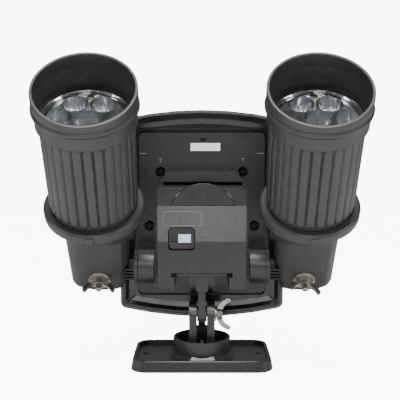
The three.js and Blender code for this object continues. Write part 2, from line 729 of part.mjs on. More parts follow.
function batteryLid() {
  const slotHalf = BRACKET_X + 3.3;
  const slotTop = BRACKET_TOP + 0.5;
  const slotBottom = BRACKET_TOP - BRACKET_PLATE - 0.5;
  const everyDepth = [LID_FACE - OVER, 0];
  const slot = block([-slotHalf, slotHalf], everyDepth, [slotBottom, slotTop]);
  const notchX = NOTCH_WIDTH / 2;
  const notch = block([-notchX, notchX], everyDepth, [LID_BOTTOM - OVER, slotBottom + 0.1]);
  const switchWindow = slab(
    roundedBox(
      SWITCH.x - SWITCH.width / 2 - GAP,
      SWITCH.x + SWITCH.width / 2 + GAP,
      SWITCH.z - SWITCH.height / 2 - GAP,
      SWITCH.z + SWITCH.height / 2 + GAP,
      3.5,
    ),
    everyDepth,
    2,
  );
  const windowShape = windowOutline(WINDOW.radius + GAP, BAND_HIGH);
  const windowHole = slab(windowShape, [LID_FACE, UPPER_FACE + WALL + GAP], 8);
  return cut(lidBlank(0), lidBlank(WALL), slot, notch, switchWindow, windowHole);
}

function sensorWindow() {
  const proud = 0.3;
  const outline = windowOutline(WINDOW.radius, BAND_HIGH + GAP);
  return slab(outline, [UPPER_FACE - proud, UPPER_FACE + WALL], 8);
}

const SENSOR_BOARD = [BOX_EDGE + 0.8, BOX_EDGE + 2.4];
const SENSOR_Z = LID_TOP - WALL - 5 - 2 * GAP;
const SENSOR_POSTS = [-1, 1].map((side) => [WINDOW.x + side * 8, SENSOR_Z - 1.2]);

function motionSensor() {
  const can = [UPPER_FACE + WALL + 0.6, SENSOR_BOARD[0] - GAP];
  const at = [WINDOW.x, 0, SENSOR_Z];
  return join(
    bar("y", 4.6, can, at),
    bar("y", 5, [can[1] - 0.8, can[1]], at),
  );
}

function sensorBoard() {
  const half = 11;
  const z = [SENSOR_Z - 6.2, BOX_TOP - WALL - GAP];
  return block([WINDOW.x - half, WINDOW.x + half], SENSOR_BOARD, z);
}

const KNOB = { width: 10, height: 6.5, offset: 2.3 };
const SWITCH_FACE = LID_FACE + 4.6;

function switchBody() {
  const halfWidth = SWITCH.width / 2;
  const halfHeight = SWITCH.height / 2;
  const outline = roundedBox(
    SWITCH.x - halfWidth,
    SWITCH.x + halfWidth,
    SWITCH.z - halfHeight,
    SWITCH.z + halfHeight,
    3.2,
  );
  const body = slab(outline, [SWITCH_FACE, BOX_EDGE + 11], 2);
  const slotX = KNOB.width / 2 + KNOB.offset + GAP;
  const slotZ = KNOB.height / 2 + GAP;
  const slot = block(
    [SWITCH.x - slotX, SWITCH.x + slotX],
    [SWITCH_FACE - OVER, SWITCH_FACE + 4],
    [SWITCH.z - slotZ, SWITCH.z + slotZ],
  );
  return cut(body, slot);
}

function switchKnob() {
  const centre = SWITCH.x + KNOB.offset;
  const x = [centre - KNOB.width / 2, centre + KNOB.width / 2];
  const z = [SWITCH.z - KNOB.height / 2, SWITCH.z + KNOB.height / 2];
  const face = SWITCH_FACE - 1.6;
  const ridges = Array.from({ length: 4 }, (_, i) => {
    const at = x[0] + 1.7 + 1.9 * i;
    return block([at, at + 0.8], [face - 0.5, face + 0.2], [z[0] + 0.6, z[1] - 0.6]);
  });
  return join(block(x, [face, SWITCH_FACE + 4 - GAP], z), ...ridges);
}

const AA_RADIUS = 7.25;
const AA_LENGTH = 50;
const CELL_PITCH = 2 * AA_RADIUS + 0.7;
const HOLDER = {
  x: AA_LENGTH / 2 + 4.5,
  z0: SHELF_TOP + GAP,
  z1: SHELF_TOP + GAP + 3 * CELL_PITCH + 3,
  back: COVER_FACE - GAP,
};
const CELL_Y = HOLDER.back - 1.5 - GAP - AA_RADIUS;
const CELL_LEVELS = [0, 1, 2].map((i) => HOLDER.z0 + 1.5 + GAP + AA_RADIUS + i * CELL_PITCH);

function batteryHolder() {
  const front = CELL_Y - AA_RADIUS - 1;
  const wall = 1.5;
  const outer = block([-HOLDER.x, HOLDER.x], [front, HOLDER.back], [HOLDER.z0, HOLDER.z1]);
  const pocket = block(
    [wall - HOLDER.x, HOLDER.x - wall],
    [front - OVER, HOLDER.back - wall],
    [HOLDER.z0 + wall, HOLDER.z1 - wall],
  );
  return cut(outer, pocket);
}

// The cells lie head to tail: 1 when the positive end is to the right.
const cellWay = (i) => (i % 2 ? -1 : 1);

function batteryCell(i) {
  const half = AA_LENGTH / 2;
  const can = turned(
    [
      [0, -half],
      [AA_RADIUS, -half],
      [AA_RADIUS, half - 1.5],
      [2.6, half - 1.2],
      [2.6, half],
      [0, half],
    ],
    MEDIUM,
  );
  return spun(can, 0, 90 * cellWay(i)).translate([0, CELL_Y, CELL_LEVELS[i]]);
}

// The strip at one end of the cells: a spring pad, drawn as a cone, for each negative end.
function contactStrip(side) {
  const face = HOLDER.x - 1.5 - GAP;
  const thick = 0.6;
  const tip = AA_LENGTH / 2 + GAP;
  const across = (from, to) => sideways(side, from, to);
  const height = [CELL_LEVELS[0] - 4.6, CELL_LEVELS[2] + 4.6];
  const strip = block(across(face - thick, face), [CELL_Y - 3.4, CELL_Y + 3.4], height);
  const springs = CELL_LEVELS.filter((_, i) => cellWay(i) !== side).map((level) => {
    const [low, high] = side > 0 ? [3, 4.6] : [4.6, 3];
    return bar("x", low, across(tip, face - thick / 2), [0, CELL_Y, level], SMALL, high);
  });
  return join(strip, ...springs);
}

// ---------------------------------------------------------------- solar plate
const WINDOW_X = BOX_X - 8;

function rearTray() {
  const skirt = BEZEL_EDGE + GAP;
  const dishFloor = PLATE_REAR + DISH_DEPTH;
  const lipX = COVER_WIDTH / 2 + 1.5;
  const lip = 2;
  const lipBottom = COVER_BOTTOM - 1.5;
  const lipTop = COVER_TOP + 1.5;
  const lipCorner = COVER_CORNER + 1;
  const opening = (grow) =>
    roundedBox(-lipX - grow, lipX + grow, lipBottom - grow, lipTop + grow, lipCorner + grow);
  const blank = slab(plateOutline(skirt), [PLATE_REAR + 0.5, BACKING_FRONT]);
  const dish = loft([
    ringUpright(plateOutline(skirt + 1.2), PLATE_REAR - OVER),
    ringUpright(plateOutline(skirt + 1.6), PLATE_REAR + 1),
    ringUpright(plateOutline(skirt + 1.6 + DISH_SLOPE * 0.4), dishFloor - 1.2),
    ringUpright(plateOutline(skirt + 1.6 + DISH_SLOPE), dishFloor),
  ]);
  const inside = slab(plateOutline(skirt + WALL), [dishFloor + WALL, PLATE_FRONT]);
  const wellBox = slab(opening(lip), [dishFloor - 1.6, TRAY_BACK]);
  const recess = slab(opening(0), [PLATE_REAR - OVER, TRAY_FLOOR]);
  const cableWindow = block(
    [-WINDOW_X, WINDOW_X],
    [0, PLATE_FRONT],
    [COVER_BOTTOM + 40, BOX_TOP - 2],
  );
  const post = COUNTERBORE - 1;
  const wellCups = COVER_SCREWS.flatMap(([x, z]) => [
    bar("y", WELL_RADIUS + GAP + 1.6, [TRAY_FLOOR + 0.5, WELL_END + GAP + 1.6], [x, 0, z], MEDIUM),
    bar("y", post, [WELL_END + GAP, BACKING_FRONT - BACKING_THICK - GAP], [x, 0, z], SMALL),
  ]);
  const wellHoles = COVER_SCREWS.flatMap(([x, z]) => [
    bar("y", WELL_RADIUS + GAP, [PLATE_REAR, WELL_END + GAP], [x, 0, z], MEDIUM),
    bar("y", SCREW_HOLE, [PLATE_REAR, PLATE_FRONT], [x, 0, z], SMALL),
  ]);
  const tabAt = [TAB_SCREW[0], 0, TAB_SCREW[1]];
  const tabPilot = bar("y", TAB_HOLE, [PLATE_REAR, PLATE_FRONT], tabAt, SMALL);
  const seatFrom = BACKING_FRONT - BACKING_THICK - GAP;
  const backingSeat = slab(plateOutline(skirt + 1), [seatFrom, PLATE_FRONT]);
  const dished = cut(blank, dish, inside);
  const walls = join(dished, wellBox, ...wellCups);
  return cut(walls, recess, cableWindow, ...wellHoles, tabPilot, backingSeat);
}

function frontBezel() {
  const skirt = slab(plateOutline(0), [PLATE_REAR, PLATE_FRONT - 0.8]);
  const chamfer = loft([
    ringUpright(plateOutline(0), PLATE_FRONT - 0.9),
    ringUpright(plateOutline(0.9), PLATE_FRONT),
  ]);
  const inside = slab(plateOutline(BEZEL_EDGE), [PLATE_REAR - OVER, PLATE_FRONT - WALL]);
  const opening = slab(plateOutline(BEZEL_EDGE + 5), [PLATE_REAR, PLATE_FRONT + OVER]);
  return cut(join(skirt, chamfer), inside, opening);
}

function solarGlass() {
  return slab(plateOutline(BEZEL_EDGE + GAP), [GLASS_FRONT - GLASS_THICK, GLASS_FRONT]);
}

// Two columns of five wafers laid on a backing sheet behind the glass.
function solarPanel() {
  const columns = 2;
  const rows = 5;
  const left = 10 - PLATE_WIDTH / 2;
  const bottom = PLATE_BOTTOM + 15;
  const width = (-2 * left) / columns;
  const height = (PLATE_TOP - 15 - bottom) / rows;
  const seam = 0.5;
  const wafers = [];
  for (let i = 0; i < columns; i++) {
    for (let j = 0; j < rows; j++) {
      const x = left + i * width;
      const z = bottom + j * height;
      const across = [x + seam, x + width - seam];
      wafers.push(block(across, [BACKING_FRONT - 0.2, CELL_FRONT], [z + seam, z + height - seam]));
    }
  }
  const edge = BEZEL_EDGE + GAP + 1 + GAP;
  const backing = slab(plateOutline(edge), [BACKING_FRONT - BACKING_THICK, BACKING_FRONT]);
  return join(backing, ...wafers);
}

function circuitBoard() {
  const half = WINDOW_X - 1;
  const z = [COVER_BOTTOM + 41, BOX_TOP - 3];
  const board = block([-half, half], [TRAY_FLOOR + 0.7, TRAY_FLOOR + 2.3], z);
  const chips = [-1, 1].map((side) =>
    block([side * 6, side * 15], [TRAY_FLOOR + 2.2, TRAY_FLOOR + 4.4], [z[0] + 14, z[0] + 24]),
  );
  return join(board, ...chips);
}

// ---------------------------------------------------------------- arms
// An arm is drawn in the frame of its hinge: x along the hinge, z along the lamp.
function armBody(side) {
  const along = (from, to) => sideways(side, from, to);
  const flangeFrom = ARM_FLANGE_X + GAP;
  const flangeTo = flangeFrom + ARM_FLANGE;
  const spigot = bar("x", SPIGOT_RADIUS, along(ARM_FLANGE_X - SPIGOT_LENGTH, flangeTo - 1), [0, 0, 0]);
  const flange = bar("x", ARM_RADIUS, along(flangeFrom, flangeTo), [0, 0, 0], LARGE);
  const depth = [0.5 - CUP_CAVITY_Y, CUP_CAVITY_Y - 0.5];
  const neck = along(flangeTo - 0.5, LAMP_X - EYE_RADIUS / 2);
  const neckBottom = -NECK_DROP - NECK_HALF;
  const web = block(neck, [-1.5, 1.5], [neckBottom, NECK_HALF - NECK_DROP]);
  const ribCount = 4;
  const ribThick = 1.8;
  const pitch = (2 * NECK_HALF - ribThick) / (ribCount - 1);
  const ribs = Array.from({ length: ribCount }, (_, i) => {
    const z = neckBottom + i * pitch;
    return block(neck, depth, [z, z + ribThick]);
  });
  const eyeDepth = [GAP - CUP_CAVITY_Y, CUP_CAVITY_Y - GAP];
  const at = [side * LAMP_X, 0, -EYE_DROP];
  const eye = bar("y", EYE_RADIUS, eyeDepth, at);
  const hole = bar("y", BOLT_HOLE, [-PAD_Y, PAD_Y], at, SMALL);
  const pilotSpan = along(ARM_FLANGE_X - SPIGOT_LENGTH - OVER, ARM_FLANGE_X - 1.5);
  const pilot = bar("x", BOLT_HOLE - 0.5, pilotSpan, [0, 0, 0], SMALL);
  return cut(join(spigot, flange, web, ...ribs, eye), hole, pilot);
}

// A screw from inside the box holds the arm's spigot in its barrel.
function armScrew(side) {
  const seat = BOX_X - WALL - GAP;
  const one = screw(ARM_FLANGE_X - 2.5 - seat, BOLT_RADIUS - 0.5, 4.6, 2.6);
  return spun(one, 0, -90 * side).translate([side * seat, 0, 0]);
}

// ---------------------------------------------------------------- lamps
// A lamp is drawn about its bolt: z along the lamp, -y to the nut. The arm comes from the
// other side of side.
function lampBase(side) {
  const square = 2.6;
  const round = { x: 8, y: 3, z: 7 };
  const taper = { x: 1.3, y: 0.3 };
  const foot = [0, 0.3, 0.6, 1].map((part) => {
    const turn = (part * Math.PI) / 2;
    const inX = round.x * (1 - Math.sin(turn));
    const inY = round.y * (1 - Math.sin(turn));
    const z = round.z * (1 - Math.cos(turn)) - CUP_DROP;
    return oval(CUP_X - taper.x - inX, CUP_Y - taper.y - inY, z, square);
  });
  const ringRadius = LAMP_RADIUS + 1.8;
  const outer = loft([
    ...foot,
    oval(CUP_X, CUP_Y, CUP_HEIGHT, square),
    oval(ringRadius - 1.6, ringRadius - 1.6, RING_FROM),
    oval(ringRadius, ringRadius, RING_FROM + 1),
    oval(ringRadius, ringRadius, RING_TO - 1.4),
    oval(ringRadius - 1.6, ringRadius - 1.6, RING_TO),
  ]);
  const seat = BARREL_RADIUS + GAP;
  const cavity = loft([
    oval(CUP_X - taper.x - round.x, CUP_CAVITY_Y, WALL - CUP_DROP, square),
    oval(CUP_X - taper.x - WALL, CUP_CAVITY_Y, round.z - CUP_DROP, square),
    oval(CUP_X - WALL - 0.8, CUP_CAVITY_Y, CUP_HEIGHT - 12, square),
    oval(CUP_X - WALL, CUP_Y - WALL, CUP_HEIGHT, square),
    oval(seat - WALL, seat - WALL, RING_FROM - 1),
    oval(seat - WALL, seat - WALL, RING_FROM + 2),
  ]);
  const barrelSeat = bar("z", seat, [RING_FROM + 2, RING_TO + OVER], [0, 0, 0], LARGE);
  const slotHalf = CUP_CAVITY_Y + 0.2;
  const armSlot = block(
    sideways(-side, 6, LAMP_RADIUS),
    [-slotHalf, slotHalf],
    [-CUP_DROP - OVER, EYE_DROP - NECK_DROP + NECK_HALF + 4.4],
  );
  const pad = (way) =>
    block([-18, 18], [way * PAD_Y, way * (PAD_Y + 9)], [-CUP_DROP - OVER, WASHER_RADIUS + 0.8]);
  const tab = block([-3, 3], [-ringRadius - 0.7, 1.5 - ringRadius], [RING_FROM + 1, RING_TO - 1.6]);
  const hole = bar("y", BOLT_HOLE, [-2 * CUP_Y, 2 * CUP_Y], [0, 0, 0], SMALL);
  return cut(join(outer, tab), cavity, barrelSeat, armSlot, pad(-1), pad(1), hole);
}

// The fluted tube. Each flute is a rib with a narrow groove beside it.
function lampBarrel() {
  const flute = new THREE.Shape();
  const grooveDepth = 1.6;
  const points = [];
  for (let i = 0; i < FLUTES; i++) {
    for (const [part, radius] of [
      [0, RIB_RADIUS - grooveDepth],
      [0.14, RIB_RADIUS],
      [0.86, RIB_RADIUS],
    ]) {
      const turn = (2 * Math.PI * (i + part)) / FLUTES;
      points.push(new THREE.Vector2(radius * Math.cos(turn), radius * Math.sin(turn)));
    }
  }
  flute.setFromPoints(points);
  const fluted = sheet(flute, [FLUTE_FROM, FLUTE_TO + 0.5]);
  const plain = turned(
    [
      [0, RING_FROM + 2 + GAP],
      [BARREL_RADIUS, RING_FROM + 2 + GAP],
      [BARREL_RADIUS, FLUTE_TO],
      [COLLAR_RADIUS - 0.8, FLUTE_TO],
      [COLLAR_RADIUS, FLUTE_TO + 1],
      [COLLAR_RADIUS, COLLAR_TO - GAP],
      [0, COLLAR_TO - GAP],
    ],
    LARGE,
  );
  const bore = turned(
    [
      [0, RING_FROM],
      [BORE_RADIUS, RING_FROM],
      [BORE_RADIUS, SEAT_RING_TO - WALL],
      [BORE_RADIUS - 5.6, SEAT_RING_TO - WALL],
      [BORE_RADIUS - 5.6, SEAT_RING_TO],
      [BORE_RADIUS, SEAT_RING_TO],
      [BORE_RADIUS, LENS_BACK - GAP],
      [LENS_RADIUS + GAP, LENS_BACK - GAP],
      [LENS_RADIUS + GAP, COLLAR_TO],
      [0, COLLAR_TO],
    ],
    LARGE,
  );
  const screwAt = [0, REFLECTOR_SCREW_Y, 0];
  const pilot = bar("z", 1.2, [SEAT_RING_TO - 2 * WALL, SEAT_RING_TO + OVER], screwAt, SMALL);
  return cut(join(plain, fluted), bore, pilot);
}

// The hood screws down on the gasket. Its rim is cut on a slant, high at the back.
function lampHood() {
  const slant = Math.tan(THREE.MathUtils.degToRad(HOOD_SLANT));
  const circleAt = (radius, z, tilt = 0) => oval(radius, radius, z, 2, tilt);
  const foot = GASKET_FROM + GASKET_THICK + GAP;
  const inner = LAMP_RADIUS - SHELL;
  const spigot = LENS_RADIUS;
  return loft(
    [
      circleAt(spigot, foot),
      circleAt(spigot, COLLAR_TO),
      circleAt(LAMP_RADIUS + 0.2, COLLAR_TO),
      circleAt(LAMP_RADIUS + 0.9, COLLAR_TO + 1),
      circleAt(LAMP_RADIUS + 0.9, BEAD_TO - 1),
      circleAt(LAMP_RADIUS, BEAD_TO),
      circleAt(LAMP_RADIUS, RIM_MID, slant),
      circleAt(inner, RIM_MID, slant),
      circleAt(inner, COLLAR_TO + 0.8),
      circleAt(spigot - 1.5, COLLAR_TO - 0.8),
      circleAt(spigot - 1.5, foot),
    ],
    true,
  );
}

function lens() {
  return turned(
    [
      [0, LENS_BACK],
      [LENS_RADIUS, LENS_BACK],
      [LENS_RADIUS, LENS_BACK + LENS_THICK],
      [0, LENS_BACK + LENS_THICK],
    ],
    LARGE,
  );
}

function lensGasket() {
  const inner = LENS_RADIUS - 2.2;
  return turned(
    [
      [inner, GASKET_FROM],
      [LENS_RADIUS, GASKET_FROM],
      [LENS_RADIUS, GASKET_FROM + GASKET_THICK],
      [inner, GASKET_FROM + GASKET_THICK],
      [inner, GASKET_FROM],
    ],
    MEDIUM,
  );
}

// One lamp cup in the middle and six around it.
const LED_PLACES = [
  [0, 0],
  ...Array.from({ length: 6 }, (_, i) => {
    const turn = (i * Math.PI) / 3;
    return [LED_PITCH * Math.cos(turn), LED_PITCH * Math.sin(turn)];
  }),
];

function reflector() {
  const from = REFLECTOR_TO - REFLECTOR_HEIGHT;
  const blank = bar("z", BORE_RADIUS - GAP, [from, REFLECTOR_TO], [0, 0, 0], LARGE);
  const cups = LED_PLACES.map(([x, y]) =>
    bar("z", 3.1, [from - 0.01, REFLECTOR_TO + 0.01], [x, y, 0], 14, LED_CUP_RADIUS),
  );
  const screwAt = [0, REFLECTOR_SCREW_Y, 0];
  const screwWell = bar("z", 2.9, [REFLECTOR_TO - 5, REFLECTOR_TO + OVER], screwAt, SMALL);
  const screwHole = bar("z", 1.3, [from - OVER, REFLECTOR_TO], screwAt, SMALL);
  return cut(blank, ...cups, screwWell, screwHole);
}

// The board with its seven lamps soldered on.
function ledBoard() {
  const board = bar("z", BORE_RADIUS - GAP, [BOARD_TO - BOARD_THICK, BOARD_TO], [0, 0, 0], LARGE);
  const led = turned(
    [
      [0, BOARD_TO - 0.5],
      [2.5, BOARD_TO - 0.5],
      [2.5, BOARD_TO + 1.6],
      [1.4, BOARD_TO + 3.4],
      [0, BOARD_TO + 3.8],
    ],
    8,
  );
  const screwAt = [0, REFLECTOR_SCREW_Y, 0];
  const screwHole = bar("z", 1.3, [BOARD_TO - WALL, BOARD_TO + OVER], screwAt, SMALL);
  return join(cut(board, screwHole), ...LED_PLACES.map(([x, y]) => led.translate([x, y, 0])));
}

function reflectorScrew() {
  const seat = REFLECTOR_TO - 5 + GAP;
  const reach = seat - (SEAT_RING_TO - WALL);
  return screw(reach, 1, 2.4, 1.6).translate([0, REFLECTOR_SCREW_Y, seat]);
}

const AIM_SEAT = PAD_Y + GAP;

function aimBolt() {
  return spun(bolt(2 * AIM_SEAT + WASHER_THICK + 10), 90).translate([0, AIM_SEAT, 0]);
}

// Puts something drawn on +z onto the front of the cup, pointing along -y.
const onFront = (body, y) => spun(body, 90).translate([0, -y, 0]);

// ---------------------------------------------------------------- assembly
function place(group, parts) {
  for (const [name, body, material] of parts) group.add(piece(name, body, material));
  return group;
}

function lampAssembly(side) {
  const word = side < 0 ? "left" : "right";
  const arm = new THREE.Group();
  arm.name = `${word}_arm_assembly`;
  arm.position.set(0, 0, ARM_AXIS_Z);
  arm.rotation.x = THREE.MathUtils.degToRad(LAMP_LEAN);
  place(arm, [
    [`${word}_arm`, armBody(side), housingPlastic()],
    [`${word}_arm_screw`, armScrew(side), blackSteel()],
  ]);
  const lamp = new THREE.Group();
  lamp.name = `${word}_lamp_assembly`;
  lamp.position.set(side * LAMP_X, 0, -EYE_DROP);
  lamp.rotation.y = -side * THREE.MathUtils.degToRad(TOE_IN);
  const nutTurn = side < 0 ? 0 : -17;
  const nut = onFront(spun(wingNut(), 0, 0, nutTurn), AIM_SEAT + WASHER_THICK + GAP);
  place(lamp, [
    [`${word}_lamp_base`, lampBase(side), lampPlastic()],
    [`${word}_lamp_barrel`, lampBarrel(), lampPlastic()],
    [`${word}_lamp_hood`, lampHood(), lampPlastic()],
    [`${word}_lens`, lens(), clearPlastic()],
    [`${word}_lens_gasket`, lensGasket(), rubber()],
    [`${word}_reflector`, reflector(), finish("#c9ccd0", 0.12, 1)],
    [`${word}_led_board`, ledBoard(), finish("#e8e8e4", 0.6)],
    [`${word}_reflector_screw`, reflectorScrew(), brass()],
    [`${word}_aim_bolt`, aimBolt(), nickel()],
    [`${word}_aim_washer`, onFront(washer(WASHER_RADIUS), AIM_SEAT), nickel()],
    [`${word}_aim_wing_nut`, nut, nickel()],
  ]);
  arm.add(lamp);
  return arm;
}

const fixture = new THREE.Group();
fixture.name = "twin_head_floodlight";
const tiltNutAt = [TILT_SEAT + WASHER_THICK + GAP, 0, PIVOT_Z];
place(fixture, [
  ["base_plate", basePlate(), housingPlastic()],
  ["swivel_screw", swivelScrew(), blackSteel()],
  ["yoke", yoke(), housingPlastic()],
  ["tilt_bolt", tiltBolt(), nickel()],
  ["tilt_washer", spun(washer(6), 0, 90).translate([TILT_SEAT, 0, PIVOT_Z]), nickel()],
  ["tilt_wing_nut", spun(wingNut(), 0, 90).translate(tiltNutAt), nickel()],
  ["tilt_bracket", tiltBracket(), housingPlastic()],
  ["bracket_screw_left", bracketScrew(BRACKET_SCREWS[0]), blackSteel()],
  ["bracket_screw_right", bracketScrew(BRACKET_SCREWS[1]), blackSteel()],
  ["rear_housing", rearHousing(), housingPlastic()],
  ["cover_screw_upper_left", coverScrew(COVER_SCREWS[0]), blackSteel()],
  ["cover_screw_lower_left", coverScrew(COVER_SCREWS[1]), blackSteel()],
  ["cover_screw_upper_right", coverScrew(COVER_SCREWS[2]), blackSteel()],
  ["cover_screw_lower_right", coverScrew(COVER_SCREWS[3]), blackSteel()],
  ["tab_screw", tabScrew(), blackSteel()],
  ["info_label", infoLabel(), finish("#f2f1ee", 0.7)],
  ["battery_lid", batteryLid(), housingPlastic()],
  ["sensor_window", sensorWindow(), housingPlastic()],
  ["motion_sensor", motionSensor(), finish("#9c9a96", 0.4, 0.8)],
  ["sensor_board", sensorBoard(), boardGreen()],
  ["switch_body", switchBody(), trayPlastic()],
  ["switch_knob", switchKnob(), finish("#c5d3e6", 0.4)],
  ["battery_holder", batteryHolder(), trayPlastic()],
  ["cell_bottom", batteryCell(0), finish("#3f7a4c", 0.4)],
  ["cell_middle", batteryCell(1), finish("#3f7a4c", 0.4)],
  ["cell_top", batteryCell(2), finish("#3f7a4c", 0.4)],
  ["contact_strip_left", contactStrip(-1), nickel()],
  ["contact_strip_right", contactStrip(1), nickel()],
  ["rear_tray", rearTray(), trayPlastic()],
  ["circuit_board", circuitBoard(), boardGreen()],
  ["solar_panel", solarPanel(), finish("#1c2340", 0.3)],
  ["solar_glass", solarGlass(), clearPlastic()],
  ["front_bezel", frontBezel(), bezelPlastic()],
]);
fixture.add(lampAssembly(-1), lampAssembly(1));

export default fixture;
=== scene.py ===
import math

import bpy
import numpy as np
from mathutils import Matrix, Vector


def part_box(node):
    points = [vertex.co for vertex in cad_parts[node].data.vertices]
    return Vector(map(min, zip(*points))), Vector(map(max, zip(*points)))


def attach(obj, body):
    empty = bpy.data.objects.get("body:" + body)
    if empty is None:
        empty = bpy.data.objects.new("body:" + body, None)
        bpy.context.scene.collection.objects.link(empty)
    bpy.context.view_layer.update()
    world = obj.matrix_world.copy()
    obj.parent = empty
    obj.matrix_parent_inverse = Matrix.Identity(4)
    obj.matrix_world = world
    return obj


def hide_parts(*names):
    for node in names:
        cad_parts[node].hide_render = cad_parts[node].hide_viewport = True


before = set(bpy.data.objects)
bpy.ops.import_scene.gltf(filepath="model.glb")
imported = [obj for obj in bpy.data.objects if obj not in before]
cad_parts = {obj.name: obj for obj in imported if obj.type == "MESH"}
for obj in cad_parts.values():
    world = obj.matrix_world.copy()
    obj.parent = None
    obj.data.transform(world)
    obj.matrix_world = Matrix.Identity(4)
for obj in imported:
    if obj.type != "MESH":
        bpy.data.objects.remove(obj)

bl_info = {
    "name": "Twin-head solar floodlight",
    "version": (1, 0, 0),
    "blender": (4, 5, 0),
    "location": "View3D > Sidebar > Floodlight",
    "description": "Builds the lamps, markings and finishes of a twin-head floodlight",
    "category": "Add Mesh",
}

MM = 0.001
SIDES = {"left": -1, "right": 1}


# ---------------------------------------------------------------- colours
def linear(hex_colour):
    """The linear RGB of an sRGB hex colour."""
    parts = (int(hex_colour[i:i + 2], 16) / 255 for i in (1, 3, 5))
    return tuple(c / 12.92 if c <= 0.04045 else ((c + 0.055) / 1.055) ** 2.4 for c in parts)


def length(name, description, millimetres):
    """A length property whose default is given in millimetres."""
    return bpy.props.FloatProperty(
        name=name, description=description, default=millimetres * MM, unit="LENGTH", precision=4
    )


def colour(name, description, hex_colour):
    """A colour property whose default is an sRGB hex value."""
    return bpy.props.FloatVectorProperty(
        name=name, description=description, default=linear(hex_colour), subtype="COLOR"
    )


# ---------------------------------------------------------------- what a user may change
class LampSizes(bpy.types.PropertyGroup):
    """Sizes of a lamp, with heights measured along it from its bolt."""

    offset: length("Offset", "Bolt to the middle of the fixture", 82.3)
    arm_height: length("Arm axis", "Height of the arm axis", 78.2)
    drop: length("Drop", "Bolt below the arm axis", 8)
    lean: bpy.props.FloatProperty(
        name="Lean", description="Lean towards the front", default=math.radians(36), unit="ROTATION"
    )
    toe_in: bpy.props.FloatProperty(
        name="Toe-in", description="Turn of each lamp towards the middle",
        default=math.radians(1.3), unit="ROTATION"
    )
    radius: length("Radius", "Outside of the hood", 36)
    shell: length("Shell", "Wall of the hood", 2.1)
    rib_radius: length("Flute radius", "Outside of the flutes", 33)
    groove_depth: length("Groove depth", "Depth between flutes", 1.3)
    bore: length("Bore", "Inside of the barrel", 29.8)
    seat_from: length("Seat", "Lower end of the barrel", 70.9)
    flute_from: length("Flutes from", "Lower end of the flutes", 79.0)
    flute_to: length("Flutes to", "Upper end of the flutes", 150.5)
    collar_to: length("Collar to", "Upper end of the collar", 161.6)
    bead_to: length("Bead to", "Upper end of the bead", 165.7)
    rim: length("Rim", "Middle of the slanted rim", 177)
    slant: bpy.props.FloatProperty(
        name="Slant", description="Slant of the rim", default=math.radians(9.7), unit="ROTATION"
    )
    lens_back: length("Lens back", "Back of the lens", 152)
    lens_thick: length("Lens", "Thickness of the lens", 2.5)
    reflector_height: length("Reflector", "Height of the reflector", 21)
    cup_pitch: length("Cup pitch", "Distance between reflector cups", 19.4)
    cup_hole: length("Cup hole", "Radius at the bottom of a cup", 3.1)
    flutes: bpy.props.IntProperty(name="Flutes", description="Flutes round a barrel", default=28)


class FinishColours(bpy.types.PropertyGroup):
    """Colours of the finishes."""

    housing: colour("Housing", "Moulded housing plastic", "#1c1a19")
    lamp: colour("Lamp", "Moulded lamp plastic", "#292726")
    tray: colour("Tray", "Satin tray plastic", "#141211")
    bezel: colour("Bezel", "Panel bezel", "#43474a")
    nickel: colour("Nickel", "Nickel plate", "#b3afa6")
    black_steel: colour("Black steel", "Black oxide", "#33312f")
    brass: colour("Brass", "Bare brass", "#c09a58")
    chrome: colour("Reflector", "Metallised reflector", "#eef0f2")
    board: colour("Board", "Solder mask", "#1f4a30")
    led_board: colour("LED board", "White solder mask", "#e8e8e4")
    clear: colour("Lens", "Clear moulding", "#f4f6f7")
    rubber: colour("Rubber", "Gasket rubber", "#1d1d1d")
    label: colour("Label", "Blank label", "#f2f1ee")
    can: colour("Sensor can", "Plated can", "#9c9a96")
    knob: colour("Knob", "Switch knob", "#bfd0e8")
    cell: colour("Cell", "Cell sleeve", "#3f7a4c")
    wafer: colour("Wafer", "Silicon wafer", "#15205a")
    # A lighter tone of the housing for the raised lines: a painted highlight on their edges, not a
    # colour of their own.
    mark_highlight: colour("Marking", "Light edge of the lid marks", "#5e5b57")
    shadow: colour("Slot", "Shadow in narrow slots", "#0b0a0a")
    silver: colour("Fingers", "Printed silver fingers of the wafer", "#7b818c")


